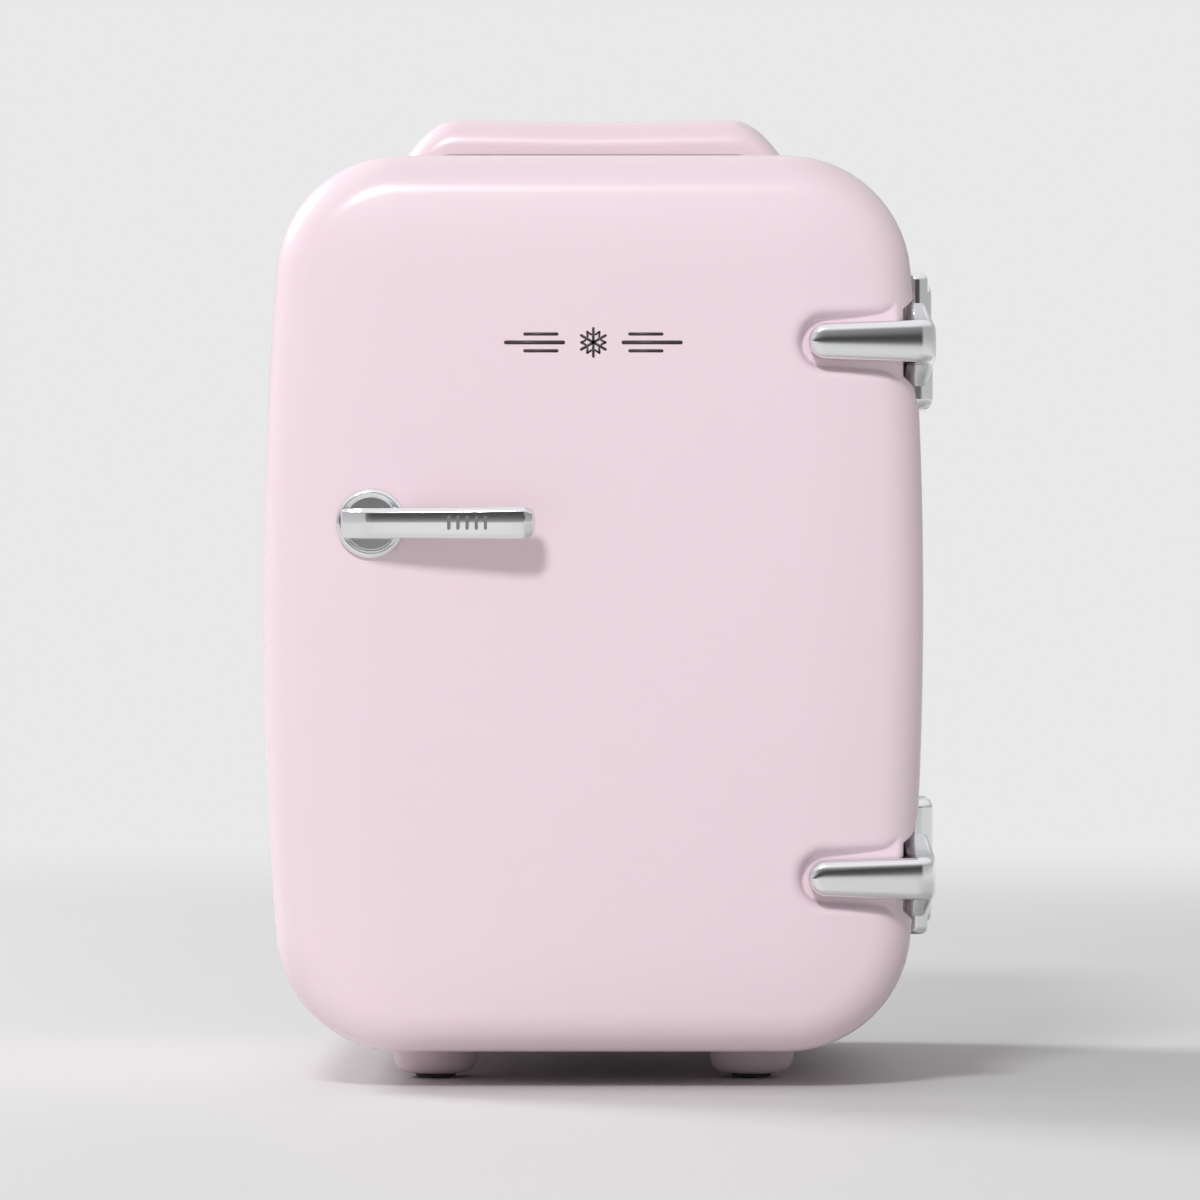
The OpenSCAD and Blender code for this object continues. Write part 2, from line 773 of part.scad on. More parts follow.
plate_w = 84;
plate_h = 110;
plate_t = 1.5;
module_t = 3.8;
sink_y = foam_back + 1;
module_y = sink_y - module_t;
base_t = 5;
fan_back = y_rear - panel_t;
fan_y = fan_back - fan_d;
fin_t = 1.4;
fin_pitch = 5.6;
fin_n = floor((sink_w - fin_t) / fin_pitch / 2);
clamp_x = module_w / 2 + 6;
clamp_z = 12;
clamp_r = 1.5;
plate_screw_x = block_w / 2 - 8;

module cold_plate() {
    color("silver")
        difference() {
            along_y(y_cavity - plate_t, y_cavity)
                translate([0, z_cool])
                    polygon(rounded(plate_w, plate_h, 6));
            for (x = [-plate_screw_x, plate_screw_x])
                rod_y(x, z_cool, clamp_r + screw_gap, y_cavity - 3, y_cavity + 1);
        }
}

module cold_plate_screws() {
    color("gray")
        for (x = [-plate_screw_x, plate_screw_x])
            translate([x, y_cavity - plate_t, z_cool])
                rotate([90, 0, 0])
                    screw(clamp_r, 2.8, plate_t + 9);
}

module cold_block() {
    color("lightgray")
        difference() {
            box([-block_w / 2, y_cavity, z_cool - module_w / 2],
                [block_w / 2, module_y, z_cool + module_w / 2]);
            for (x = [-plate_screw_x, plate_screw_x])
                rod_y(x, z_cool, clamp_r + screw_gap, y_cavity - 1, y_cavity + 10);
            for (x = [-clamp_x, clamp_x])
                for (z = [z_cool - clamp_z, z_cool + clamp_z])
                    rod_y(x, z, clamp_r + screw_gap, module_y - 10, module_y + 1);
        }
}

module peltier_module() {
    color("whitesmoke")
        box([-module_w / 2, module_y, z_cool - module_w / 2], [module_w / 2, sink_y, z_cool + module_w / 2]);
}

// Comb section of the heat sink, with a free lane for each row of clamp screws
module heat_sink() {
    fin_h = fan_y - 1 - sink_y - base_t;
    color("silver")
        difference() {
            translate([0, 0, z_cool - sink_h / 2])
                linear_extrude(sink_h) {
                    translate([-sink_w / 2, sink_y])
                        square([sink_w, base_t]);
                    for (i = [-fin_n:fin_n])
                        if (abs(abs(i * fin_pitch) - clamp_x) > 4)
                            translate([i * fin_pitch - fin_t / 2, sink_y + base_t - eps])
                                square([fin_t, fin_h]);
                }
            for (x = [-clamp_x, clamp_x])
                for (z = [z_cool - clamp_z, z_cool + clamp_z])
                    rod_y(x, z, clamp_r + screw_gap, sink_y - 1, sink_y + base_t + 1);
        }
}

module clamp_screws() {
    color("gray")
        for (x = [-clamp_x, clamp_x])
            for (z = [z_cool - clamp_z, z_cool + clamp_z])
                translate([x, sink_y + base_t, z])
                    rotate([-90, 0, 0])
                        screw(clamp_r, 2.8, base_t + module_t + 9);
}

fan_hole_r = fan_w / 2 - 2;
fan_hub_r = fan_w * 0.21;
fan_screw_at = fan_w / 2 - 4.5;
blade_n = 7;
axle_r = 1.5;

module fan_frame() {
    motor_t = 3;
    color("black")
        difference() {
            union() {
                difference() {
                    along_y(fan_y, fan_back)
                        translate([0, z_cool])
                            polygon(rounded(fan_w, fan_w, 4));
                    rod_y(0, z_cool, fan_hole_r, fan_y - 1, fan_back + 1);
                }
                rod_y(0, z_cool, fan_hub_r, fan_y, fan_y + motor_t);
                for (a = [45:90:315])
                    translate([0, 0, z_cool])
                        rotate([0, a, 0])
                            box([fan_hub_r - 1, fan_y, -1.6], [fan_hole_r + 1, fan_y + motor_t, 1.6]);
                rod_y(0, z_cool, axle_r, fan_y, fan_y + 9);
            }
            for (x = [-fan_screw_at, fan_screw_at])
                for (z = [z_cool - fan_screw_at, z_cool + fan_screw_at])
                    rod_y(x, z, 1.5 + screw_gap, fan_y - 1, fan_back + 1);
        }
}

module fan_rotor() {
    y0 = fan_y + 3.6;
    y1 = fan_back - 1.4;
    color("dimgray")
        difference() {
            union() {
                rod_y(0, z_cool, fan_hub_r, y0, y1);
                for (i = [0:blade_n - 1])
                    translate([0, 0, z_cool])
                        rotate([0, i * 360 / blade_n, 0])
                            fan_blade(y0, y1);
            }
            rod_y(0, z_cool, axle_r + pin_clear, y0 - 1, fan_y + 9.4);
        }
}

// One flat blade, pitched across the rotor's depth
module fan_blade(y0, y1) {
    span = fan_hole_r - 1.2 - fan_hub_r;
    reach = (y1 - y0) / 2 - 0.8;
    translate([fan_hub_r - 1.5, (y0 + y1) / 2, 0])
        along_x(0, span)
            polygon([[-reach, -7], [-reach + 1.4, -7], [reach, 7], [reach - 1.4, 7]]);
}

module fan_screws() {
    color("gray")
        for (x = [-fan_screw_at, fan_screw_at])
            for (z = [z_cool - fan_screw_at, z_cool + fan_screw_at])
                translate([x, y_rear, z])
                    rotate([-90, 0, 0])
                        screw(1.5, 2.6, panel_t + fan_d - 2);
}

// --- Rear panel and electrics -------------------------------------------------------------

panel_screw_x = panel_w / 2 - 6;
panel_screw_z = panel_h / 2 - 6;
panel_screw_r = 1.4;
side_col_x = -48;
ac_z = z_mid - 80;
dc_z = ac_z + 27;
switch_z = dc_z + 25;
lamp_z = switch_z + 17;
lamp_x = [side_col_x - 4, side_col_x + 4];
lamp_r = 1.8;
ac_w = 20;
ac_h = 13;
dc_r = 6.5;
switch_w = 13;
switch_h = 19;
board_x = [-28, 56];
board_z = [z_mid - 99 + 6, z_mid - 99 + 52];
board_t = 1.6;
post_l = 12;
post_r = 3;
board_y = y_rear - panel_t - post_l - board_t;

module each_post() {
    for (x = [board_x[0] + 4, board_x[1] - 4])
        for (z = [board_z[0] + 4, board_z[1] - 4])
            translate([x, 0, z])
                children();
}

// Rings and spokes of the fan opening
ring_n = 5;
module grille_slots() {
    pitch = (fan_hole_r - fan_hub_r * 0.6) / ring_n;
    for (i = [0:ring_n - 1])
        difference() {
            circle(r = fan_hub_r * 0.6 + pitch * (i + 1) - 1.3);
            circle(r = fan_hub_r * 0.6 + pitch * i + 1.1);
            for (a = [22.5:45:180])
                rotate(a)
                    square([3 * fan_w, 2.4], center = true);
        }
}

module rear_panel() {
    color("pink")
        difference() {
            union() {
                along_y(y_rear - panel_t, y_rear)
                    translate([0, z_mid])
                        polygon(rounded(panel_w, panel_h, 13.7));
                each_post()
                    rod_y(0, 0, post_r, board_y + board_t, y_rear - panel_t);
            }
            along_y(y_rear - 10, y_rear + 1)
                translate([0, z_cool])
                    grille_slots();
            box([side_col_x - ac_w / 2 - 0.2, y_rear - 10, ac_z - ac_h / 2 - 0.2],
                [side_col_x + ac_w / 2 + 0.2, y_rear + 1, ac_z + ac_h / 2 + 0.2]);
            rod_y(side_col_x, dc_z, dc_r + 0.2, y_rear - 10, y_rear + 1);
            box([side_col_x - switch_w / 2 - 0.2, y_rear - 10, switch_z - switch_h / 2 - 0.2],
                [side_col_x + switch_w / 2 + 0.2, y_rear + 1, switch_z + switch_h / 2 + 0.2]);
            for (x = lamp_x)
                rod_y(x, lamp_z, lamp_r + 0.1, y_rear - 10, y_rear + 1);
            for (x = [-panel_screw_x, panel_screw_x])
                for (z = [z_mid - panel_screw_z, z_mid + panel_screw_z])
                    rod_y(x, z, panel_screw_r + screw_gap, y_rear - 10, y_rear + 1);
            for (x = [-fan_screw_at, fan_screw_at])
                for (z = [z_cool - fan_screw_at, z_cool + fan_screw_at])
                    rod_y(x, z, 1.5 + screw_gap, y_rear - 10, y_rear + 1);
            each_post()
                rod_y(0, 0, 1 + screw_gap, board_y, y_rear - panel_t - 2);
            bottom_slots();
        }
}

// Intake slots in the lower middle of the rear panel
module bottom_slots() {
    for (i = [0:5])
        box([-26 + i * 15, y_rear - 10, z_mid - panel_h / 2 + 14], [-22 + i * 15, y_rear + 1, z_mid - panel_h / 2 + 46]);
}

module rear_panel_screws() {
    color("gray")
        for (x = [-panel_screw_x, panel_screw_x])
            for (z = [z_mid - panel_screw_z, z_mid + panel_screw_z])
                translate([x, y_rear, z])
                    rotate([-90, 0, 0])
                        screw(panel_screw_r, 2.8, panel_t + 10);
}

module power_board() {
    color("green")
        difference() {
            box([board_x[0], board_y, board_z[0]], [board_x[1], board_y + board_t, board_z[1]]);
            each_post()
                rod_y(0, 0, 1 + screw_gap, board_y - 1, board_y + board_t + 1);
        }
}

module board_screws() {
    color("gray")
        each_post()
            translate([0, board_y, 0])
                rotate([90, 0, 0])
                    screw(1, 2, board_t + 8);
}

module transformer() {
    core = [26, 16, 20];
    at = [board_x[0] + 30, board_y, (board_z[0] + board_z[1]) / 2];
    color("goldenrod") {
        difference() {
            box(at - [core[0] / 2, core[1], core[2] / 2], at + [core[0] / 2, 0, core[2] / 2]);
            box(at - [core[0] / 2 - 5, core[1] + 1, core[2] / 2 - 5], at + [core[0] / 2 - 5, -10, core[2] / 2 - 5]);
        }
    }
}

module capacitors() {
    color("navy")
        for (i = [0:2])
            rod_y(board_x[1] - 12, board_z[0] + 10 + i * 13, 4.5, board_y - 18, board_y);
}

module ac_inlet() {
    socket_d = 12;
    color("black")
        difference() {
            union() {
                box([side_col_x - ac_w / 2, y_rear - 18, ac_z - ac_h / 2],
                    [side_col_x + ac_w / 2, y_rear + eps, ac_z + ac_h / 2]);
                along_y(y_rear, y_rear + trim_t)
                    translate([side_col_x, ac_z])
                        polygon(rounded(ac_w + 5, ac_h + 5, 3));
            }
            along_y(y_rear - socket_d, y_rear + trim_t + 1)
                translate([side_col_x, ac_z])
                    ac_mouth();
            for (x = ac_pin_x)
                rod_y(side_col_x + x, ac_z, 1.2, y_rear - 20, y_rear);
        }
}
ac_pin_x = [-4.3, 4.3];
module ac_mouth() {
    for (x = ac_pin_x)
        translate([x, 0])
            circle(r = 4.1);
    square([8.6, 6.4], center = true);
}

module ac_pins() {
    color("silver")
        for (x = ac_pin_x)
            rod_y(side_col_x + x, ac_z, 1.2, y_rear - 20, y_rear - 2.5);
}

module dc_inlet() {
    color("black")
        difference() {
            union() {
                rod_y(side_col_x, dc_z, dc_r, y_rear - 16, y_rear + eps);
                rod_y(side_col_x, dc_z, dc_r + 2, y_rear, y_rear + trim_t);
            }
            rod_y(side_col_x, dc_z, dc_r - 1.6, y_rear - 12, y_rear + trim_t + 1);
            rod_y(side_col_x, dc_z, 1, y_rear - 18, y_rear);
        }
}

module dc_contacts() {
    color("gold")
        rod_y(side_col_x, dc_z, 1, y_rear - 18, y_rear - 3);
}

rocker_r = 14;
rocker_axis_y = y_rear - 4;
module switch_housing() {
    w = switch_w;
    h = switch_h;
    color("black")
        difference() {
            union() {
                box([side_col_x - w / 2, y_rear - 15, switch_z - h / 2], [side_col_x + w / 2, y_rear + eps, switch_z + h / 2]);
                box([side_col_x - w / 2 - 1.5, y_rear, switch_z - h / 2 - 1.5],
                    [side_col_x + w / 2 + 1.5, y_rear + 0.8, switch_z + h / 2 + 1.5]);
            }
            box([side_col_x - w / 2 + 1.4, y_rear - 12, switch_z - h / 2 + 1.4],
                [side_col_x + w / 2 - 1.4, y_rear + 2, switch_z + h / 2 - 1.4]);
            rod_x(rocker_axis_y, switch_z, 0.9, side_col_x - w / 2 - 1, side_col_x + w / 2 + 1);
        }
}

module switch_rocker() {
    w = switch_w - 2.8 - 2 * 0.3;
    half = switch_h / 2 - 1.4 - 1.1;
    color("dimgray") {
        along_x(side_col_x - w / 2, side_col_x + w / 2)
            translate([rocker_axis_y, switch_z])
                polygon([[-5, -3], [3.2, -half], [3.9, -half + 0.6], [3.2, 0],
                         [3.9, half - 0.6], [3.2, half], [-5, 3]]);
        rod_x(rocker_axis_y, switch_z, 0.85, side_col_x - w / 2 - 0.9, side_col_x + w / 2 + 0.9);
    }
}

module lamp(x) {
    rod_y(x, lamp_z, lamp_r, y_rear - 8, y_rear + 0.5);
}
module cold_indicator() {
    color("deepskyblue")
        lamp(lamp_x[0]);
}
module hot_indicator() {
    color("red")
        lamp(lamp_x[1]);
}

// --- Shelf --------------------------------------------------------------------------------

module shelf() {
    w = cavity_w - 2 * 0.6;
    y1 = y_cavity - plate_t - screw_head_h - 1.4;
    y0 = y1 - shelf_d;
    bar = 3;
    slots = 9;
    pitch = (w - 16) / slots;
    color("white")
        translate([0, 0, z_shelf])
            linear_extrude(shelf_t)
                difference() {
                    translate([0, (y0 + y1) / 2])
                        polygon(rounded(w, shelf_d, 4));
                    for (i = [0:slots - 1])
                        translate([-w / 2 + 8 + i * pitch + bar / 2, y0 + 9])
                            square([pitch - bar, shelf_d - 17]);
                }
}

// --- Door ---------------------------------------------------------------------------------

// Distance behind the front at which the door's edge rounding begins, and where it ends
edge_drop = crown_r - sqrt(pow(crown_r - door_edge_r, 2) - pow(corner_r - door_edge_r, 2));
edge_a = asin((corner_r - door_edge_r) / (crown_r - door_edge_r));
door_back_r = wall * 0.6;

// Rings of the door's outside, drawn in by inset: flat middle, crown, edge rounding, side
flat_r = 4;
flat_a = asin(flat_r / crown_r);
function door_rings(inset, back) = concat(
    [[y_front + inset, corner_r - flat_r]],
    [for (i = [1:3]) let (a = flat_a + (edge_a - flat_a) * i / 3)
        [y_front + inset + (crown_r - inset) * (1 - cos(a)), corner_r - (crown_r - inset) * sin(a)]],
    [for (i = [1:7]) let (a = edge_a + (90 - edge_a) * i / 7)
        [y_front + edge_drop - (door_edge_r - inset) * cos(a),
         door_edge_r - (door_edge_r - inset) * sin(a)]],
    back
);

module door_solid() {
    skin(door_rings(0, [for (a = [0:30:90])
        [y_door - door_back_r * (1 - sin(a)), door_back_r * (1 - cos(a))]]));
}

module door_hollow(inset) {
    skin(door_rings(inset, [[y_door + 1, inset]]));
}

// Flat seat in the crowned front that the rosette stands on and its screws pull against
lever_seat_y = y_front + wall + 1;
lever_screw_x = [-rosette_x - 4, -rosette_x + 4];
lever_screw_r = 1.4;
lever_head_r = 3;

module door_skin() {
    color("pink")
        difference() {
            union() {
                door_solid();
                rod_y(-rosette_x, z_mid + rosette_z, rosette_r - 0.3, y_front, lever_seat_y, $fn = 32);
            }
            difference() {
                door_hollow(wall);
                strap_pockets(wall);
                rod_y(-rosette_x, z_mid + rosette_z, rosette_r - 0.3, y_front, lever_seat_y, $fn = 32);
            }
            strap_pockets(0);
            for (z = hinge_zs)
                for (x = strap_screw_x)
                    rod_y(x, z - strap_drop, strap_screw_r + screw_gap, y_front, strap_back + 9, $fn = 16);
            for (x = lever_screw_x)
                rod_y(x, z_mid + rosette_z, lever_screw_r + screw_gap, y_front - 1, y_front + 9, $fn = 16);
        }
}

plug_gap = 2;
basket_hook_x = basket_w / 2 - 16;
hook_w = 8;

module plug_outline(gap) {
    translate([0, z_floor + cavity_h / 2])
        polygon(rounded(cavity_w - 2 * (plug_gap + gap), cavity_h - 2 * (plug_gap + gap), cavity_r - plug_gap));
}

module door_liner() {
    y1 = y_cab + plug_d;
    color("white")
        difference() {
            union() {
                along_y(y_door - liner_t, y_door)
                    translate([0, z_mid])
                        polygon(outline(rim_w + 1));
                along_y(y_door - liner_t, y1)
                    plug_outline(0);
                basket_rails(y1);
            }
            along_y(y_door - liner_t - 1, y1 - liner_t)
                plug_outline(liner_t);
        }
}

// Two upright T rails on the inner panel, which the basket hangs on
rail_t = 2;
rail_l = 22;
module basket_rails(y1) {
    z0 = z_basket + basket_h - rail_l - 6;
    for (x = [-basket_hook_x, basket_hook_x]) {
        box([x - 2, y1 - eps, z0], [x + 2, y1 + 2 * rail_t, z0 + rail_l]);
        box([x - 4, y1 + rail_t, z0], [x + 4, y1 + 2 * rail_t, z0 + rail_l]);
    }
}

module door_foam() {
    g = foam_gap;
    color("ivory")
        difference() {
            union() {
                skin(door_rings(wall + g, [[y_door - liner_t - g, wall + g]]));
                along_y(y_door - liner_t - g - 1, y_cab + plug_d - liner_t - g)
                    plug_outline(liner_t + g);
            }
            strap_pockets(wall + g);
            for (z = hinge_zs)
                for (x = strap_screw_x)
                    rod_y(x, z - strap_drop, 3.2, y_front, channel_floor + wall + screw_head_h + 1, $fn = 16);
            rod_y(-rosette_x, z_mid + rosette_z, rosette_r, y_front, lever_seat_y + screw_head_h + g, $fn = 32);
            along_y(y_door - liner_t - g, y_door + 1)
                difference() {
                    translate([0, z_mid])
                        square([2 * body_w, 2 * body_h], center = true);
                    plug_outline(liner_t + g);
                }
        }
}

module door_gasket() {
    in = 2;
    cz = z_floor + cavity_h / 2;
    w = cavity_w + 2 * in;
    h = cavity_h + 2 * in;
    y1 = y_cab - rest_gap;
    color("white")
        difference() {
            along_y(y_door, y1)
                translate([0, cz])
                    difference() {
                        polygon(rounded(w + 2 * gasket_w, h + 2 * gasket_w, cavity_r + gasket_w));
                        polygon(rounded(w, h, cavity_r));
                    }
            frame_bars(magnet_in, magnet_w, y_door + 0.7, y1 - 0.5);
        }
}
magnet_in = 5;
magnet_w = 4.6;

module door_magnets() {
    g = 0.05;
    color("dimgray")
        frame_bars(magnet_in + g, magnet_w - 2 * g, y_door + 0.7 + g, y_cab - rest_gap - 0.5 - g, 2 * g);
}

// --- Pull lever ---------------------------------------------------------------------------

rosette_t = 2;
module handle_rosette() {
    color("silver")
        difference() {
            translate([-rosette_x, y_front, z_mid + rosette_z])
                rotate([90, 0, 0])
                    rotate_extrude()
                        polygon([[0, 0], [rosette_r, 0], [rosette_r, 0.8],
                                 [rosette_r - 1.2, rosette_t], [0, rosette_t]]);
            for (x = lever_screw_x)
                rod_y(x, z_mid + rosette_z, lever_screw_r + screw_gap, y_front - 5, y_front + 1);
        }
}

// Plan of the lever: a foot on the rosette, then a bar that leads away from the door
module lever_plan() {
    x0 = -rosette_x - rosette_r + 1.4;
    tip = -rosette_x - rosette_r + lever_l;
    root = y_front - rosette_t;
    out = y_front - lever_reach;
    bar_t = 6;
    polygon(concat(
        [[x0 + 0.6, root], [x0, root - 1], [x0 + 6, out + 6]],
        [[x0 + 10, out + 4.4], [tip - 8, out]],
        arc(tip - 2, out + 2, 2, -90, 0, 3),
        [[tip - 0.8, out + bar_t - 0.6], [x0 + 22, out + bar_t + 3.4], [x0 + 17, root]]
    ));
}

module pull_lever() {
    z = z_mid + rosette_z;
    grow = 0.35;
    tip = -rosette_x - rosette_r + lever_l;
    color("silver")
        difference() {
            intersection() {
                translate([0, 0, z - lever_h])
                    linear_extrude(2 * lever_h)
                        lever_plan();
                along_y(y_front - lever_reach - 1, y_front)
                    translate([0, z])
                        polygon([[-rosette_x - rosette_r, -lever_h / 2], [tip - 4, -lever_h / 2 - grow],
                                 [tip, -lever_h / 2 + 2.4], [tip, lever_h / 2 - 1.6],
                                 [tip - 3, lever_h / 2 + grow], [-rosette_x - rosette_r, lever_h / 2]]);
            }
            for (x = lever_screw_x)
                rod_y(x, z, lever_screw_r + screw_gap, y_front - 7, y_front);
        }
}

module pull_screws() {
    color("gray")
        for (x = lever_screw_x)
            translate([x, lever_seat_y, z_mid + rosette_z])
                rotate([-90, 0, 0])
                    screw(lever_screw_r, lever_head_r, wall + 7);
}

// --- Door basket --------------------------------------------------------------------------

module door_basket() {
    y0 = y_cab + plug_d + rest_gap;
    y1 = y0 + basket_d;
    t = 1.8;
    color("whitesmoke")
        difference() {
            box([-basket_w / 2, y0, z_basket], [basket_w / 2, y1, z_basket + basket_h]);
            box([-basket_w / 2 + t, y0 + 2 * rail_t + 1 + t, z_basket + t],
                [basket_w / 2 - t, y1 - t, z_basket + basket_h + 1]);
            for (x = [-basket_hook_x, basket_hook_x])
                rail_slot(x, y0);
            for (i = [0:8])
                box([-basket_w / 2 + 11 + i * (basket_w - 26) / 8, y1 - 5, z_basket + 12],
                    [-basket_w / 2 + 15 + i * (basket_w - 26) / 8, y1 + 1, z_basket + basket_h - 10]);
        }
}

// The T slot in the basket's back, open below so that the basket lifts off
module rail_slot(x, y0) {
    c = 0.4;
    y1 = y_cab + plug_d;
    top = z_basket + basket_h - 6 + c;
    box([x - 2 - c, y0 - 1, z_basket - 1], [x + 2 + c, y1 + 2 * rail_t + c, top]);
    box([x - 4 - c, y1 + rail_t - c, z_basket - 1], [x + 4 + c, y1 + 2 * rail_t + c, top]);
}

cabinet_shell();
cabinet_liner();
cabinet_foam();
strike_plates();
handle_grip();
handle_underside();
handle_screws();
feet();
foot_pads();
foot_screws();
hinge_leaf_upper();
hinge_leaf_lower();
hinge_leaf_screws();
hinge_pins();
cold_plate();
cold_plate_screws();
cold_block();
peltier_module();
heat_sink();
clamp_screws();
fan_frame();
fan_screws();
fan_rotor();
rear_panel();
rear_panel_screws();
power_board();
transformer();
capacitors();
board_screws();
ac_inlet();
ac_pins();
dc_inlet();
dc_contacts();
switch_housing();
switch_rocker();
cold_indicator();
hot_indicator();
shelf();
door_skin();
door_liner();
door_foam();
door_gasket();
door_magnets();
hinge_strap_upper();
hinge_strap_lower();
hinge_strap_screws();
handle_rosette();
pull_lever();
pull_screws();
door_basket();
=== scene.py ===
"""Mini fridge: smooth mouldings, chrome trim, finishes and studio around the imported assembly."""

import json
import math

import bmesh
import bpy
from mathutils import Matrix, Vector


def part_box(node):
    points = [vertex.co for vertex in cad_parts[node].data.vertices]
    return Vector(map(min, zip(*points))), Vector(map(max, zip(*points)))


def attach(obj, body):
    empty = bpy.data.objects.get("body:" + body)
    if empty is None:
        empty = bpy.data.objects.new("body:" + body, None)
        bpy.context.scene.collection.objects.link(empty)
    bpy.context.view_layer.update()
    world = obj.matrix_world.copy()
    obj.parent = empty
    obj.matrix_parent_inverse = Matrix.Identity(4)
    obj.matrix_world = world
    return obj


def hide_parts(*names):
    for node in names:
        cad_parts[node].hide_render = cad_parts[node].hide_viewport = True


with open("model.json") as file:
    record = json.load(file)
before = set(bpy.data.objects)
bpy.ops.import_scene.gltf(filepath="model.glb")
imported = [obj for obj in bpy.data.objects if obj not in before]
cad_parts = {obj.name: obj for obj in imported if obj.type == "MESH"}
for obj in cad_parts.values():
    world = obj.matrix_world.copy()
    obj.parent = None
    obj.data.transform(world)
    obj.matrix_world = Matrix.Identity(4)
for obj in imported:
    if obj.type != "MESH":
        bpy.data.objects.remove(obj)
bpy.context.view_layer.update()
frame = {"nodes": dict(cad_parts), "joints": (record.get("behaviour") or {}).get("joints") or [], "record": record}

bl_info = {
    "name": "Mini Fridge",
    "version": (1, 0, 0),
    "blender": (4, 5, 0),
    "location": "View3D > Sidebar > Fridge",
    "description": "Builds the visible mouldings, trim, finishes and studio of a small retro fridge",
    "category": "Object",
}

# --- Places taken from the frame, in metres -----------------------------------------------

DOOR_LOW, DOOR_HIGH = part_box("door_skin")
CAB_LOW, CAB_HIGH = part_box("cabinet_shell")
PANEL_LOW, PANEL_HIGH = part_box("rear_panel")
GRIP_LOW, GRIP_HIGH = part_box("handle_grip")
ROSETTE_LOW, ROSETTE_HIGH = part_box("handle_rosette")
LEVER_LOW, LEVER_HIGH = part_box("pull_lever")
HINGE = next(j for j in frame["joints"] if j["name"] == "door_hinge")
AXIS_X, AXIS_Y = HINGE["pos_m"][0], HINGE["pos_m"][1]
Z_MID = (DOOR_LOW.z + DOOR_HIGH.z) / 2
Y_FRONT, Y_DOOR = DOOR_LOW.y, DOOR_HIGH.y
HALF_W = DOOR_HIGH.x
HALF_H = (DOOR_HIGH.z - DOOR_LOW.z) / 2
HINGES = {"upper": 1, "lower": -1}
STRAPS = {which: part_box("hinge_strap_" + which) for which in HINGES}
LEAVES = {which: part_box("hinge_leaf_" + which) for which in HINGES}
BARRELS = {which: (min(STRAPS[which][0].z, LEAVES[which][0].z), max(STRAPS[which][1].z, LEAVES[which][1].z))
           for which in HINGES}
TIP_X = STRAPS["upper"][0].x
STRAP_DROP = 0.0018


def hinge_z(which):
    """Middle of a hinge's barrel."""
    return sum(BARRELS[which]) / 2


def strap_z(which):
    """Centre line of a strap, a little under the barrel's middle."""
    return hinge_z(which) - STRAP_DROP


# --- Settings -----------------------------------------------------------------------------

def length(label, text, default):
    return bpy.props.FloatProperty(name=label, description=text, default=default, unit="LENGTH",
                                   precision=4)


def tint(label, text, default):
    return bpy.props.FloatVectorProperty(name=label, description=text, default=default, size=3,
                                         subtype="COLOR", min=0, max=1)


def amount(label, text, default):
    return bpy.props.FloatProperty(name=label, description=text, default=default)


class FRIDGE_PG_body(bpy.types.PropertyGroup):
    """Shape of the cabinet and the door"""
    corner_r: length("Corner radius", "Round corners of door and cabinet, seen from the front", 0.036)
    side_r: length("Side bulge radius", "Radius of the gently bulging sides", 1.25)
    crown_r: length("Crown radius", "Radius of the door front's soft crown", 0.15)
    edge_r: length("Door edge radius", "Rounding from the door's front to its side", 0.014)
    door_back_r: length("Door back radius", "Small rounding at the door's rear edge", 0.0014)
    rim_r: length("Cabinet rim radius", "Rounding of the cabinet's front rim", 0.004)
    rear_r: length("Cabinet rear radius", "Rounding of the cabinet's rear edge", 0.022)
    rim_w: length("Rim width", "Width of the cabinet's front rim", 0.008)
    wall: length("Wall", "Wall of the outer mouldings", 0.002)
    foot_r: length("Foot radius", "Radius of a foot at the cabinet", 0.0128)
    recess_depth: length("Recess depth", "Depth of the finger recess under the carry handle", 0.016)


class FRIDGE_PG_hinges(bpy.types.PropertyGroup):
    """Shape of the chrome hinges and their channels"""
    half_tip: length("Half height at tip", "Half height of a strap at its round nose", 0.0051)
    half_root: length("Half height at root", "Half height of a strap at the door's edge", 0.0061)
    proud: length("Proud", "How far a strap stands out from the door", 0.0055)
    foot: length("Foot", "How deep a strap lies in its channel", 0.0044)
    channel_gap: length("Channel gap", "Gap between a strap and its channel", 0.0023)
    fillet: length("Channel fillet", "Soft rounding where the channel meets the door", 0.0036)
    flare_length: length("Flare length", "Length of the channel's flare at the door's edge", 0.010)
    flare_half: length("Flare half height", "Half height of the flare at the door's side", 0.0155)
    notch: length("Notch", "How far the notch lies inside the hinge axis", 0.0052)
    leg: length("Side leg", "How far a strap's side leg reaches inside the hinge axis", 0.0036)
    crown: length("Strap crown", "How far a strap's face is crowned", 0.00012)
    bevel: length("Strap bevel", "Rounding along a strap's long edges", 0.0022)
    knuckle_r: length("Strap knuckle radius", "Radius of the strap's half of the barrel", 0.0035)
    leaf_knuckle_r: length("Leaf knuckle radius", "Radius of the leaf's half of the barrel", 0.00498)


class FRIDGE_PG_finishes(bpy.types.PropertyGroup):
    """Colours of the fridge"""
    pink: tint("Pink", "Gloss plastic of the outside", (0.80, 0.522, 0.592))
    white: tint("White", "Plastic of the inside", (0.84, 0.85, 0.85))
    chrome: tint("Chrome", "Plated hinges and lever", (0.80, 0.80, 0.81))
    steel: tint("Steel", "Screws, pins and strike plates", (0.52, 0.52, 0.53))
    aluminium: tint("Aluminium", "Cold plate and heat sink", (0.72, 0.73, 0.75))
    rubber: tint("Rubber", "Foot pads", (0.045, 0.040, 0.042))
    emblem: tint("Emblem", "Print on the door", (0.045, 0.032, 0.032))


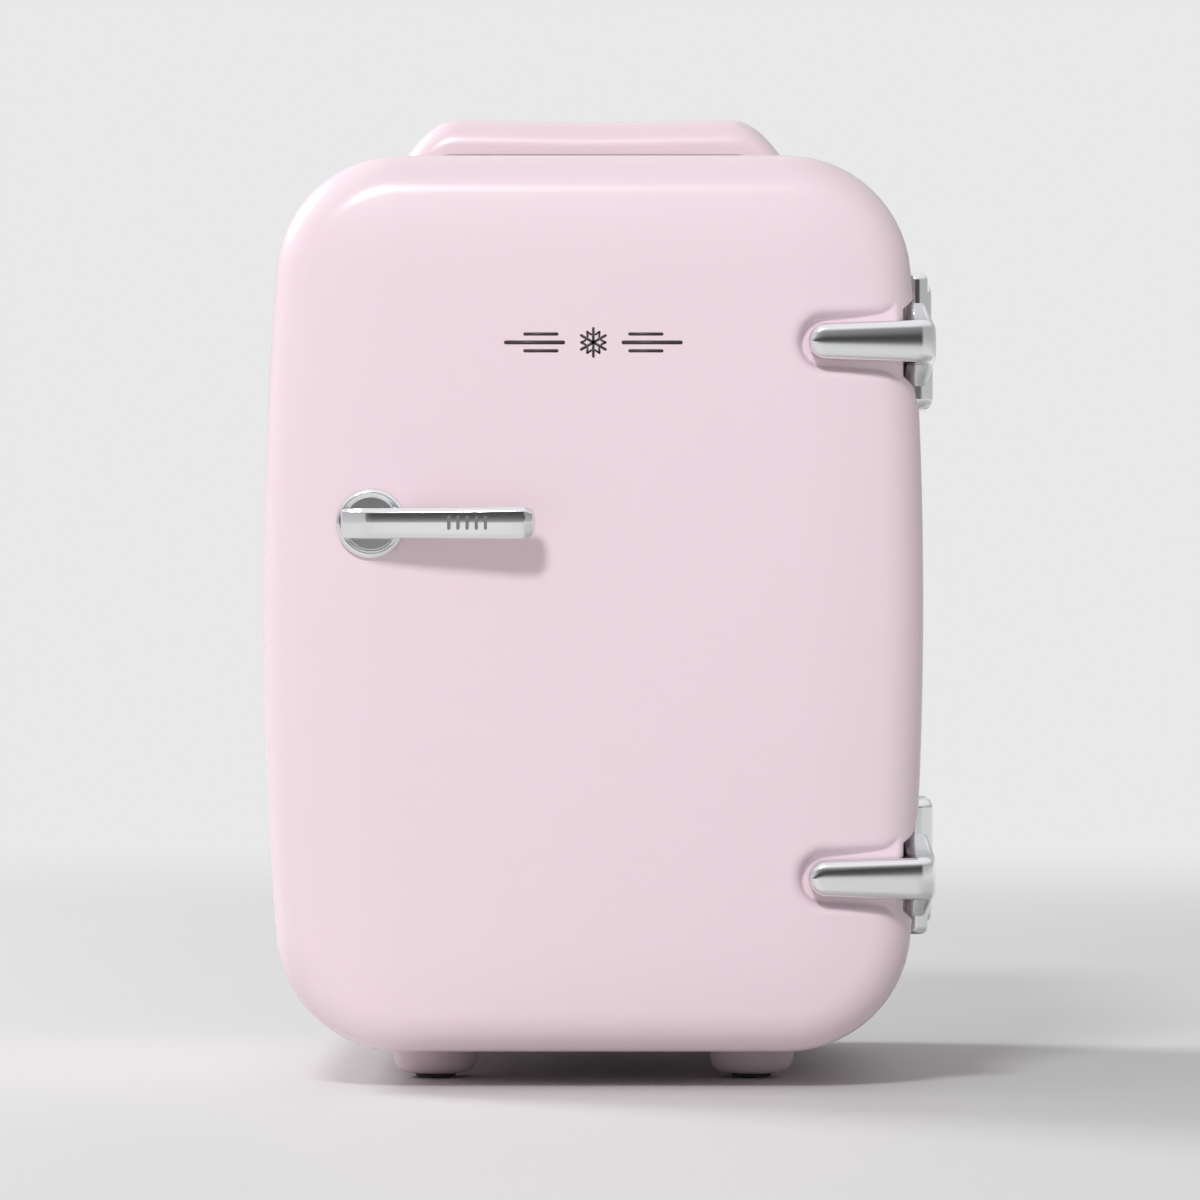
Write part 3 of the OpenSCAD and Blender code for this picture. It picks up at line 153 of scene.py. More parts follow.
class FRIDGE_PG_studio(bpy.types.PropertyGroup):
    """Studio around the fridge"""
    camera_x: length("Camera aside", "Camera's place across the fridge", 0.0019)
    camera_z: length("Camera height", "Camera's height over the floor", 0.1405)
    distance: length("Camera distance", "From the door's front to the camera", 2.0)
    lens: amount("Lens", "Focal length in millimetres", 210.0)
    key: amount("Key light", "Power of the key light in watts", 51.0)
    side: amount("Side light", "Power of the light from the left rear in watts", 27.0)
    ambient: amount("Ambient", "Strength of the pale surroundings", 0.31)


# --- Mesh helpers -------------------------------------------------------------------------

def new_object(name, mesh):
    made = bpy.data.objects.new(name, mesh)
    bpy.context.scene.collection.objects.link(made)
    return made


def mesh_of(name, vertices, faces):
    """A mesh object from points and faces, with its faces turned outward and shaded smooth."""
    mesh = bpy.data.meshes.new(name)
    mesh.from_pydata([tuple(v) for v in vertices], [], faces)
    bm = bmesh.new()
    bm.from_mesh(mesh)
    bmesh.ops.remove_doubles(bm, verts=bm.verts, dist=1e-7)
    bmesh.ops.recalc_face_normals(bm, faces=bm.faces)
    for face in bm.faces:
        face.smooth = True
    bm.to_mesh(mesh)
    bm.free()
    return new_object(name, mesh)


def loft(name, rings, close_start=True, close_end=True):
    """A skin through rings of equally many points."""
    count = len(rings[0])
    faces = [
        (k * count + i, k * count + (i + 1) % count, (k + 1) * count + (i + 1) % count, (k + 1) * count + i)
        for k in range(len(rings) - 1) for i in range(count)
    ]
    if close_start:
        faces.append(tuple(range(count))[::-1])
    if close_end:
        faces.append(tuple((len(rings) - 1) * count + i for i in range(count)))
    return mesh_of(name, [p for ring in rings for p in ring], faces)


def turned(name, profile, centre, axis, steps=64):
    """A body of revolution: profile holds (radius, height) along the axis from centre."""
    axis = Vector(axis).normalized()
    across = axis.orthogonal().normalized()
    up = axis.cross(across)
    rings = []
    for radius, height in profile:
        rings.append([
            Vector(centre) + axis * height
            + (across * math.cos(a) + up * math.sin(a)) * max(radius, 1e-6)
            for a in [2 * math.pi * i / steps for i in range(steps)]
        ])
    return loft(name, rings)


def baked(obj):
    """The object with its modifiers applied."""
    graph = bpy.context.evaluated_depsgraph_get()
    mesh = bpy.data.meshes.new_from_object(obj.evaluated_get(graph))
    obj.modifiers.clear()
    obj.data = mesh
    return obj


def carve(obj, cutters):
    """Cuts the cutters out of the object and removes them."""
    for cutter in cutters:
        cut = obj.modifiers.new("cut", "BOOLEAN")
        cut.object = cutter
        cut.solver = "EXACT"
    bpy.context.view_layer.update()
    baked(obj)
    for cutter in cutters:
        bpy.data.objects.remove(cutter)
    return obj


def soften(obj, width, segments=2, angle=35):
    """Small rounded edges and even shading over flat faces."""
    if width:
        bevel = obj.modifiers.new("edges", "BEVEL")
        bevel.width = width
        bevel.segments = segments
        bevel.limit_method = "ANGLE"
        bevel.angle_limit = math.radians(angle)
        bevel.use_clamp_overlap = True
    sharpen(obj.data, angle)
    even = obj.modifiers.new("shading", "WEIGHTED_NORMAL")
    even.keep_sharp = True
    even.weight = 100
    return obj


def sharpen(mesh, angle):
    """Smooth shading that stops at edges sharper than the angle."""
    bm = bmesh.new()
    bm.from_mesh(mesh)
    limit = math.radians(angle)
    for face in bm.faces:
        face.smooth = True
    for edge in bm.edges:
        edge.smooth = len(edge.link_faces) != 2 or edge.calc_face_angle(0) < limit
    bm.to_mesh(mesh)
    bm.free()


def finish_piece(obj, body, slot, *nodes):
    """Gives a new piece its finish, its body and the nodes that it stands for."""
    obj.data.materials.clear()
    obj.data.materials.append(FINISHES[slot]())
    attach(obj, body)
    if nodes:
        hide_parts(*nodes)
    return obj


def smooth_step(t):
    t = min(max(t, 0.0), 1.0)
    return t * t * (3 - 2 * t)


# --- Materials ----------------------------------------------------------------------------

def material(name, colour, metallic=0.0, roughness=0.4):
    """A principled material and its node tree, made once for each name."""
    made = bpy.data.materials.new(name)
    made.use_nodes = True
    shader = made.node_tree.nodes["Principled BSDF"]
    shader.inputs["Base Color"].default_value = (*colour, 1)
    shader.inputs["Metallic"].default_value = metallic
    shader.inputs["Roughness"].default_value = roughness
    return made, made.node_tree, shader


def place(tree):
    """The place on the object, in metres."""
    return tree.nodes.new("ShaderNodeTexCoord").outputs["Object"]


def grain(tree, scale, detail=3.0, stretch=None):
    """Noise at a scale per metre, stretched along axes where wanted."""
    noise = tree.nodes.new("ShaderNodeTexNoise")
    noise.inputs["Scale"].default_value = scale
    noise.inputs["Detail"].default_value = detail
    source = place(tree)
    if stretch:
        mapping = tree.nodes.new("ShaderNodeMapping")
        mapping.inputs["Scale"].default_value = stretch
        tree.links.new(source, mapping.inputs["Vector"])
        source = mapping.outputs["Vector"]
    tree.links.new(source, noise.inputs["Vector"])
    return noise.outputs["Fac"]


def shades(tree, source, first, second, low=0.35, high=0.65):
    """A colour that runs from first to second over the source."""
    ramp = tree.nodes.new("ShaderNodeValToRGB")
    ramp.color_ramp.elements[0].position = low
    ramp.color_ramp.elements[0].color = (*first, 1)
    ramp.color_ramp.elements[1].position = high
    ramp.color_ramp.elements[1].color = (*second, 1)
    tree.links.new(source, ramp.inputs["Fac"])
    return ramp.outputs["Color"]


def spread(tree, source, low, high):
    """A number from low to high over the source."""
    span = tree.nodes.new("ShaderNodeMapRange")
    span.inputs["From Min"].default_value = 0.3
    span.inputs["From Max"].default_value = 0.7
    span.inputs["To Min"].default_value = low
    span.inputs["To Max"].default_value = high
    tree.links.new(source, span.inputs["Value"])
    return span.outputs["Result"]


def relief(tree, shader, source, strength, depth):
    """Fine relief from the source."""
    bump = tree.nodes.new("ShaderNodeBump")
    bump.inputs["Strength"].default_value = strength
    bump.inputs["Distance"].default_value = depth
    tree.links.new(source, bump.inputs["Height"])
    tree.links.new(bump.outputs["Normal"], shader.inputs["Normal"])


def toned(colour, factor):
    return tuple(min(c * factor, 1.0) for c in colour)


def plain_finish(name, colour, metallic, rough, tone=0.05, scale=60.0, bump_scale=0.0, bump=0.0,
                 depth=0.0001, stretch=None):
    """A finish with slight colour drift, uneven gloss and fine relief."""
    if name in bpy.data.materials:
        return bpy.data.materials[name]
    made, tree, shader = material(name, colour, metallic)
    drift = grain(tree, scale, 4.0, stretch)
    tree.links.new(shades(tree, drift, toned(colour, 1 - tone), toned(colour, 1 + tone)),
                   shader.inputs["Base Color"])
    tree.links.new(spread(tree, grain(tree, scale * 3.1, 3.0, stretch), rough[0], rough[1]),
                   shader.inputs["Roughness"])
    if bump:
        relief(tree, shader, grain(tree, bump_scale, 2.0, stretch), bump, depth)
    return made


def colours():
    return bpy.context.scene.fridge_finishes


def pink_plastic():
    """Gloss moulded plastic: even colour, soft clear gloss, the faintest orange peel."""
    name = "pink_plastic"
    if name in bpy.data.materials:
        return bpy.data.materials[name]
    made = plain_finish(name, tuple(colours().pink), 0.0, (0.30, 0.36), 0.012, 14.0, 900.0, 0.04, 0.00005)
    shader = made.node_tree.nodes["Principled BSDF"]
    shader.inputs["Coat Weight"].default_value = 0.12
    shader.inputs["Coat Roughness"].default_value = 0.12
    shader.inputs["Subsurface Weight"].default_value = 0.08
    shader.inputs["Subsurface Radius"].default_value = (1.0, 0.5, 0.5)
    shader.inputs["Subsurface Scale"].default_value = 0.002
    return made


def white_plastic():
    """Satin vacuum-formed lining with a fine leather-like grain."""
    return plain_finish("white_plastic", tuple(colours().white), 0.0, (0.30, 0.42), 0.015, 20.0,
                        1500.0, 0.12, 0.0001)


def clear_basket():
    name = "clear_basket"
    if name in bpy.data.materials:
        return bpy.data.materials[name]
    made = plain_finish(name, (0.86, 0.90, 0.92), 0.0, (0.05, 0.12), 0.01, 30.0, 500.0, 0.03, 0.00005)
    shader = made.node_tree.nodes["Principled BSDF"]
    shader.inputs["Transmission Weight"].default_value = 0.75
    shader.inputs["IOR"].default_value = 1.49
    return made


def foam():
    return plain_finish("foam", (0.80, 0.74, 0.58), 0.0, (0.85, 0.95), 0.08, 90.0, 700.0, 0.6, 0.0006)


def gasket():
    return plain_finish("gasket", (0.62, 0.61, 0.62), 0.0, (0.45, 0.58), 0.03, 50.0, 1800.0, 0.10, 0.0001)


def pad_rubber():
    return plain_finish("pad_rubber", tuple(colours().rubber), 0.0, (0.70, 0.88), 0.25, 120.0,
                        1600.0, 0.3, 0.0002)


def chrome_trim():
    """Bright plating: mirror gloss with the faint waviness of a polished casting."""
    return plain_finish("chrome_trim", tuple(colours().chrome), 1.0, (0.030, 0.060), 0.015, 40.0,
                        60.0, 0.012, 0.0004)


def steel():
    return plain_finish("steel", tuple(colours().steel), 1.0, (0.22, 0.36), 0.08, 150.0,
                        2500.0, 0.08, 0.00005)


def aluminium():
    return plain_finish("aluminium", tuple(colours().aluminium), 1.0, (0.26, 0.40), 0.06, 60.0, 900.0,
                        0.10, 0.00008, (1.0, 1.0, 0.06))


def ceramic():
    return plain_finish("ceramic", (0.86, 0.85, 0.81), 0.0, (0.45, 0.60), 0.03, 80.0, 1400.0, 0.08, 0.0001)


def black_plastic():
    return plain_finish("black_plastic", (0.020, 0.020, 0.022), 0.0, (0.38, 0.52), 0.25, 70.0,
                        2200.0, 0.18, 0.0001)


def switch_plastic():
    return plain_finish("switch_plastic", (0.035, 0.034, 0.036), 0.0, (0.25, 0.35), 0.15, 60.0,
                        1500.0, 0.08, 0.0001)


def board():
    """Green laminate with a pattern of copper lands under the lacquer."""
    name = "board"
    if name in bpy.data.materials:
        return bpy.data.materials[name]
    made, tree, shader = material(name, (0.02, 0.16, 0.07))
    cells = tree.nodes.new("ShaderNodeTexVoronoi")
    cells.distance = "MANHATTAN"
    cells.inputs["Scale"].default_value = 240.0
    tree.links.new(place(tree), cells.inputs["Vector"])
    lands = shades(tree, cells.outputs["Distance"], (0.03, 0.24, 0.10), (0.012, 0.11, 0.05), 0.3, 0.5)
    tree.links.new(lands, shader.inputs["Base Color"])
    tree.links.new(spread(tree, grain(tree, 300.0), 0.22, 0.38), shader.inputs["Roughness"])
    return made


def winding():
    return plain_finish("winding", (0.62, 0.50, 0.16), 0.0, (0.35, 0.55), 0.18, 220.0, 1200.0, 0.25,
                        0.0002, (0.1, 1.0, 1.0))


def sleeve():
    return plain_finish("sleeve", (0.022, 0.035, 0.085), 0.0, (0.22, 0.34), 0.12, 90.0, 900.0, 0.05, 0.0001)


def magnet():
    return plain_finish("magnet", (0.055, 0.050, 0.048), 0.0, (0.65, 0.80), 0.2, 150.0, 1800.0, 0.2, 0.0001)


def contact():
    return plain_finish("contact", (0.80, 0.62, 0.30), 1.0, (0.18, 0.30), 0.08, 120.0, 1500.0, 0.06, 0.0001)


def lens(name, colour, glow):
    """A tinted lamp lens with a faint glow inside."""
    if name in bpy.data.materials:
        return bpy.data.materials[name]
    made = plain_finish(name, colour, 0.0, (0.10, 0.18), 0.05, 300.0, 900.0, 0.05, 0.0001)
    shader = made.node_tree.nodes["Principled BSDF"]
    shader.inputs["Coat Weight"].default_value = 0.6
    shader.inputs["Emission Color"].default_value = (*colour, 1)
    shader.inputs["Emission Strength"].default_value = glow
    return made


def blue_lens():
    return lens("blue_lens", (0.03, 0.16, 0.70), 0.15)


def red_lens():
    return lens("red_lens", (0.62, 0.03, 0.03), 0.10)


def emblem_print():
    """Thin matt ink on the door."""
    return plain_finish("emblem_print", tuple(colours().emblem), 0.0, (0.32, 0.45), 0.12, 400.0,
                        2500.0, 0.1, 0.00005)


FINISHES = {
    "pink_plastic": pink_plastic, "white_plastic": white_plastic, "clear_basket": clear_basket,
    "foam": foam, "gasket": gasket, "pad_rubber": pad_rubber, "chrome_trim": chrome_trim,
    "steel": steel, "aluminium": aluminium, "ceramic": ceramic, "black_plastic": black_plastic,
    "switch_plastic": switch_plastic, "board": board, "winding": winding, "sleeve": sleeve,
    "magnet": magnet, "contact": contact, "blue_lens": blue_lens, "red_lens": red_lens,
}


# --- Outline shared by door and cabinet ---------------------------------------------------

MIN_CORNER = 0.006
FINE_BELOW, FINE_ABOVE = 0.0225, 0.0265


def outline(inset, right_zs):
    """The rounded outline with bulging sides, drawn in by inset, as (x, z) about the middle, with
    the direction that faces out. right_zs are the heights of the points on the right side."""
    body = bpy.context.scene.fridge_body
    corner = max(body.corner_r - inset, MIN_CORNER)
    side_r = body.side_r - inset
    centre_x = HALF_W - body.side_r
    top = HALF_H - inset
    corner_z = top - corner
    corner_x = centre_x + math.sqrt((side_r - corner) ** 2 - corner_z ** 2)
    side_a = math.asin(corner_z / (side_r - corner))
    reach = HALF_H - body.corner_r
    points = []

    def add(x, z, a):
        points.append((x, z, math.cos(a), math.sin(a)))

    def corner_arc(cx, cz, start, end, steps=14):
        for i in range(steps + 1):
            a = start + (end - start) * i / steps
            add(cx + corner * math.cos(a), cz + corner * math.sin(a), a)

    for z in right_zs:
        a = side_a * z / reach
        add(centre_x + side_r * math.cos(a), side_r * math.sin(a), a)
    corner_arc(corner_x, corner_z, side_a, math.pi / 2)
    for i in range(1, 10):
        add(corner_x - 2 * corner_x * i / 10, top, math.pi / 2)
    corner_arc(-corner_x, corner_z, math.pi / 2, math.pi - side_a)
    for i in range(1, 24):
        a = math.pi - side_a + 2 * side_a * i / 24
        add(-centre_x + side_r * math.cos(a), side_r * math.sin(a), a)
    corner_arc(-corner_x, -corner_z, math.pi + side_a, 3 * math.pi / 2)
    for i in range(1, 10):
        add(-corner_x + 2 * corner_x * i / 10, -top, 3 * math.pi / 2)
    corner_arc(corner_x, -corner_z, -math.pi / 2, -side_a)
    return points


def side_heights(fine, coarse=0.005):
    """Heights along the right side, close together around each hinge."""
    reach = HALF_H - bpy.context.scene.fridge_body.corner_r
    zones = [(strap_z(w) - Z_MID - FINE_BELOW, strap_z(w) - Z_MID + FINE_ABOVE) for w in HINGES]
    heights, z = [], -reach
    while z < reach - fine:
        z += fine if any(low < z < high for low, high in zones) else coarse
        heights.append(min(z, reach - fine))
    return heights


def clear_of_barrel(point, radius):
    """Moves a point out of the round pocket around a hinge barrel."""
    if abs(point.y - AXIS_Y) > radius or point.x < AXIS_X - radius:
        return point
    for which in HINGES:
        low, high = BARRELS[which]
        beyond = max(low - 0.0005 - point.z, point.z - high - 0.0005)
        if beyond > 0.0008:
            continue
        clear = radius * (1 - smooth_step((beyond + 0.0004) / 0.0012))
        away = Vector((point.x - AXIS_X, point.y - AXIS_Y))
        if away.length < clear:
            away = away.normalized() * clear
            return Vector((AXIS_X + away.x, AXIS_Y + away.y, point.z))
    return point


# --- Door ---------------------------------------------------------------------------------

# The flare of a strap's channel ends just inside the door's widest place
FLARE_END = HALF_W - 0.0024
FLARE_SLOPE = 0.9
CHANNEL_STEEPNESS = 12

# The notch widens to its full height this far ahead of the hinge axis, over a short blend
NOTCH_START = 0.0138
NOTCH_BLEND = 0.0028

CHANNEL_CLEARANCE = 0.0003
BARREL_CLEARANCE = 0.0007


def channel_depth(x, z):
    """How deep the soft-edged channels of the straps may cut at a place on the front."""
    hinges = bpy.context.scene.fridge_hinges
    flare_x = FLARE_END - hinges.flare_length
    deepest = 0.0
    for which in HINGES:
        dz = abs(z - strap_z(which))
        if dz > hinges.flare_half + 2 * hinges.fillet:
            continue
        nose = TIP_X + hinges.half_tip
        if x < nose:
            inside = hinges.half_tip + hinges.channel_gap - math.hypot(x - nose, dz)
        else:
            run = min((x - nose) / (AXIS_X - nose), 1.0)
            half = hinges.half_tip + (hinges.half_root - hinges.half_tip) * run + hinges.channel_gap
            if x > flare_x:
                t = min((x - flare_x) / hinges.flare_length, 0.995)
                wide = half + (hinges.flare_half - half) * (1 - math.sqrt(1 - t * t))
                inside = wide - dz
                if dz >= half:
                    inside = min(inside, max(half - dz, (x - flare_x) * FLARE_SLOPE))
            else:
                inside = half - dz
        f = hinges.fillet
        if inside <= -f:
            continue
        if inside < 0:
            depth = f - math.sqrt(max(f * f - (inside + f) ** 2, 0.0))
        else:
            depth = f + inside * CHANNEL_STEEPNESS
        deepest = max(deepest, depth)
    return deepest


def door_profile():
    """Profile from the flat middle to the rear edge: inset, y and the angle that the skin has turned."""
    body = bpy.context.scene.fridge_body
    crown, edge = body.crown_r, body.edge_r
    turn = math.asin((body.corner_r - edge) / (crown - edge))
    rows = [(0.041 - 0.0006 * i, Y_FRONT, 0.0) for i in range(8)]
    steps = 46
    for i in range(steps):
        a = turn * i / steps
        rows.append((body.corner_r - crown * math.sin(a), Y_FRONT + crown * (1 - math.cos(a)), a))
    centre_y = Y_FRONT + crown - (crown - edge) * math.cos(turn)
    steps = 36
    for i in range(steps + 1):
        a = turn + (math.pi / 2 - turn) * i / steps
        rows.append((edge - edge * math.sin(a), centre_y - edge * math.cos(a), a))
    back = body.door_back_r
    flank = Y_DOOR - back - centre_y
    for t in [0.12, 0.25, 0.38, 0.5, 0.6, 0.66, 0.7, 0.74, 0.78, 0.83, 0.87, 0.9, 0.93, 0.96, 0.98, 1.0]:
        rows.append((0.0, centre_y + flank * t, math.pi / 2))
    for a in [0.5, 1.0, math.pi / 2]:
        rows.append((back * (1 - math.cos(a)), Y_DOOR - back * (1 - math.sin(a)), math.pi / 2))
    return rows


def notch_edge(y, dz, notch_x):
    """How far in the notch reaches at a height off the strap: the flare's curve, full by the hinge."""
    hinges = bpy.context.scene.fridge_hinges
    half = hinges.half_root + hinges.channel_gap
    rise = min(max((dz - half) / (hinges.flare_half - half), 0.0), 1.0)
    flare_x = FLARE_END - hinges.flare_length
    curve = flare_x + hinges.flare_length * math.sqrt(1 - (1 - rise) ** 2)
    by_hinge = smooth_step((y - AXIS_Y + NOTCH_START) / NOTCH_BLEND)
    return notch_x + max(curve - notch_x, 0.0) * (1 - by_hinge)


class FRIDGE_OT_door_skin(bpy.types.Operator):
    """Crowned door moulding with the two soft channels of the hinge straps"""
    bl_idname = "fridge.door_skin"
    bl_label = "Door skin"

    def execute(self, context):
        hinges = context.scene.fridge_hinges
        heights = side_heights(0.0005)
        floor_y = Y_FRONT + hinges.foot + CHANNEL_CLEARANCE
        notch_x = AXIS_X - hinges.notch
        clear = hinges.leaf_knuckle_r + BARREL_CLEARANCE
        rings = []
        for inset, y, turn in door_profile():
            ring = []
            for x, z, out_x, out_z in outline(inset, heights):
                point = Vector((x, y, Z_MID + z))
                inward = Vector((-math.sin(turn) * out_x, math.cos(turn), -math.sin(turn) * out_z))
                depth = channel_depth(x, point.z) if x > TIP_X - 0.01 else 0.0
                if depth > 0:
                    to_floor = (floor_y - y) / max(inward.y, 1e-3) if y < floor_y else 0.0
                    beside = min(abs(point.z - strap_z(which)) for which in HINGES)
                    stop_x = notch_edge(y, beside, notch_x)
                    to_notch = (x - stop_x) / -inward.x if x > stop_x and inward.x < -0.2 else 0.0
                    point += inward * min(depth, max(to_floor, to_notch, 0.0))
                ring.append(clear_of_barrel(point, clear))
            rings.append(ring)
        skin = loft("door_moulding", rings, close_end=False)
        solid = skin.modifiers.new("wall", "SOLIDIFY")
        solid.thickness = context.scene.fridge_body.wall
        solid.offset = -1.0
        baked(skin)
        for face in skin.data.polygons:
            face.use_smooth = True
        finish_piece(skin, "door", "pink_plastic", "door_skin")
        return {"FINISHED"}


# --- Cabinet ------------------------------------------------------------------------------

def rounded_ring(half_x, half_z, radius, place_point, steps=8):
    """A rounded rectangle, each (x, z) of it put in space by place_point."""
    radius = max(min(radius, half_x, half_z), 1e-5)
    ring = []
    for quarter, (sx, sz) in enumerate([(1, 1), (-1, 1), (-1, -1), (1, -1)]):
        for i in range(steps + 1):
            a = math.pi / 2 * (quarter + i / steps)
            ring.append(place_point(sx * (half_x - radius) + radius * math.cos(a),
                                    sz * (half_z - radius) + radius * math.sin(a)))
    return ring


def cabinet_rings():
    """The outside of the cabinet, front to rear, clear of the hinge barrels."""
    body = bpy.context.scene.fridge_body
    heights = side_heights(0.0012)
    rim, rear = body.rim_r, body.rear_r
    y0, y1 = CAB_LOW.y, CAB_HIGH.y
    rows = [(0.016, y0), (0.010, y0)]
    rows += [(rim * (1 - math.sin(a)), y0 + rim * (1 - math.cos(a)))
             for a in [math.pi / 2 * i / 8 for i in range(9)]]
    rows += [(0.0, y0 + rim + d) for d in (0.0015, 0.003, 0.006, 0.012, 0.03, 0.08)]
    rows += [(0.0, y1 - rear - d) for d in (0.03, 0.008)]
    rows += [(rear * (1 - math.cos(a)), y1 - rear + rear * math.sin(a))
             for a in [math.pi / 2 * i / 16 for i in range(17)]]
    rows += [(rear + 0.0015, y1), (rear + 0.004, y1)]
    clear = bpy.context.scene.fridge_hinges.leaf_knuckle_r + BARREL_CLEARANCE
    return [[clear_of_barrel(Vector((x, y, Z_MID + z)), clear) for x, z, _, _ in outline(inset, heights)]
            for inset, y in rows]


def prism_y(name, half_x, half_z, radius, y0, y1):
    """A rounded block along the depth, about the fridge's middle."""
    return loft(name, [rounded_ring(half_x, half_z, radius, lambda x, z, y=y: Vector((x, y, Z_MID + z)))
                       for y in (y0, y1)])


def recess_cutter(half_x, half_y, y_mid, top, depth):
    """Finger recess with a rolled rim, straight walls and a round floor edge."""
    lip, floor = 0.0022, 0.004
    rows = [(lip + 0.004, top + 0.004)]
    rows += [(lip * (1 - math.sin(a)), top - lip * (1 - math.cos(a)))
             for a in [math.pi / 2 * i / 6 for i in range(7)]]
    rows += [(-floor * (1 - math.cos(a)), top - depth + floor * (1 - math.sin(a)))
             for a in [math.pi / 2 * i / 6 for i in range(7)]]
    return loft("recess_cut", [
        rounded_ring(half_x + grow, half_y + grow, 0.009 + grow,
                     lambda x, y, z=z: Vector((x, y_mid + y, z))) for grow, z in rows])


class FRIDGE_OT_cabinet_shell(bpy.types.Operator):
    """Outer moulding of the cabinet with its rim, recess and rear opening"""
    bl_idname = "fridge.cabinet_shell"
    bl_label = "Cabinet shell"

    def execute(self, context):
        body = context.scene.fridge_body
        shell = loft("cabinet_moulding", cabinet_rings())
        opening = loft("opening_cut", [
            [Vector((x, y, Z_MID + z)) for x, z, _, _ in outline(body.rim_w, side_heights(0.01))]
            for y in (CAB_LOW.y - 0.01, PANEL_LOW.y - 0.004)])
        panel_x = (PANEL_HIGH.x - PANEL_LOW.x) / 2 + 0.0003
        panel_z = (PANEL_HIGH.z - PANEL_LOW.z) / 2 + 0.0003
        rear = prism_y("rear_cut", panel_x, panel_z, 0.014, PANEL_LOW.y - 0.01, CAB_HIGH.y + 0.01)
        grip_mid = (GRIP_LOW.y + GRIP_HIGH.y) / 2
        pan_x, pan_y = (GRIP_HIGH.x - GRIP_LOW.x) / 2 - 0.012, (GRIP_HIGH.y - GRIP_LOW.y) / 2 + 0.013
        recess = recess_cutter(pan_x, pan_y, grip_mid, CAB_HIGH.z, body.recess_depth)
        pan = recess_cutter(pan_x + body.wall, pan_y + body.wall, grip_mid, CAB_HIGH.z,
                            body.recess_depth + body.wall)
        carve(opening, [pan])
        carve(shell, [opening, rear, recess])
        soften(shell, 0.0, angle=38)
        finish_piece(shell, "cabinet", "pink_plastic", "cabinet_shell")
        return {"FINISHED"}


class FRIDGE_OT_carry_handle(bpy.types.Operator):
    """Carry handle: a low arch with round shoulders over the recess"""
    bl_idname = "fridge.carry_handle"
    bl_label = "Carry handle"

    def execute(self, context):
        base = CAB_HIGH.z
        half, height = (GRIP_HIGH.x - GRIP_LOW.x) / 2, GRIP_HIGH.z - base
        half_y = (GRIP_HIGH.y - GRIP_LOW.y) / 2
        mid_y = (GRIP_LOW.y + GRIP_HIGH.y) / 2
        level, dip = 0.0415, 0.0006
        shoulder = half - level
        edge, sunk = 0.0085, 0.002
        stations = [-half + 0.0001 + shoulder * (1 - math.cos(math.pi / 2 * i / 18)) for i in range(19)]
        stations += [-level + 2 * level * i / 24 for i in range(1, 24)]
        stations += [-x for x in reversed(stations[:19])]
        rings = []
        for x in stations:
            over = max((abs(x) - level) / shoulder, 0.0)
            top = (height - 0.0001) * (1 - over ** 2) - dip * smooth_step(1 - abs(x) / level)
            round_r = min(edge, half_y, max(top, 0.0004))
            pull = 0.35 * edge * over ** 3
            wide = half_y - pull
            ring = [Vector((x, mid_y - wide, base - sunk))]
            for i in range(13):
                a = math.pi / 2 * i / 12
                ring.append(Vector((x, mid_y - wide + round_r * (1 - math.cos(a)),
                                    base + top - round_r * (1 - math.sin(a)))))
            ring += [Vector((p.x, 2 * mid_y - p.y, p.z)) for p in reversed(ring)]
            rings.append(ring)
        grip = loft("carry_handle", rings)
        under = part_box("handle_underside")[0].z
        inner = half - 0.013
        lip = 0.0025
        rows = [(mid_y - half_y - 0.002, lip + 0.002), (mid_y - half_y, lip)]
        rows += [(mid_y - half_y + lip * math.sin(a), lip * (1 - math.sin(a)))
                 for a in [math.pi / 2 * i / 5 for i in range(1, 6)]]
        rows += [(2 * mid_y - y, grow) for y, grow in reversed(rows)]
        arch = loft("arch_cut", [
            rounded_ring(inner + grow, under - base + 0.006 + grow, 0.005 + grow,
                         lambda x, z, y=y: Vector((x, y, base - 0.006 + z))) for y, grow in rows])
        carve(grip, [arch])
        soften(grip, 0.0, angle=40)
        finish_piece(grip, "cabinet", "pink_plastic", "handle_grip")
        return {"FINISHED"}


class FRIDGE_OT_feet(bpy.types.Operator):
    """Four round feet with their soft pads"""
    bl_idname = "fridge.feet"
    bl_label = "Feet"

    def execute(self, context):
        low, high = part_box("feet")
        pad_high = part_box("foot_pads")[1]
        radius = context.scene.fridge_body.foot_r
        top, lift = high.z, low.z
        side_x, ys = high.x - radius, (low.y + radius, high.y - radius)
        pad_r = pad_high.x - side_x
        profile = [(0.0, lift), (radius - 0.0055, lift)]
        profile += [(radius - 0.0048 + 0.0042 * math.sin(a), lift + 0.0042 * (1 - math.cos(a)))
                    for a in [math.radians(84) * i / 8 for i in range(1, 9)]]
        profile += [(radius - 0.0001, top - 0.002), (radius, top)]
        pad = [(0.0, 0.0003), (pad_r - 0.0012, 0.0), (pad_r - 0.0005, 0.0002), (pad_r, 0.0008),
               (pad_r, pad_high.z)]
        feet, pads = [], []
        for x in (-side_x, side_x):
            for y in ys:
                feet.append(turned("foot", profile, (x, y, 0), (0, 0, 1)))
                pads.append(turned("pad", pad, (x, y, 0), (0, 0, 1), 48))
        for name, parts, slot, node in (("round_feet", feet, "pink_plastic", "feet"),
                                        ("soft_pads", pads, "pad_rubber", "foot_pads")):
            joined = join(name, parts)
            soften(joined, 0.0, angle=50)
            finish_piece(joined, "cabinet", slot, node)
        return {"FINISHED"}


def join(name, parts):
    """One object from several."""
    bm = bmesh.new()
    for part in parts:
        bm.from_mesh(part.data)
        bpy.data.objects.remove(part)
    mesh = bpy.data.meshes.new(name)
    bm.to_mesh(mesh)
    bm.free()
    return new_object(name, mesh)


# --- Hinges -------------------------------------------------------------------------------

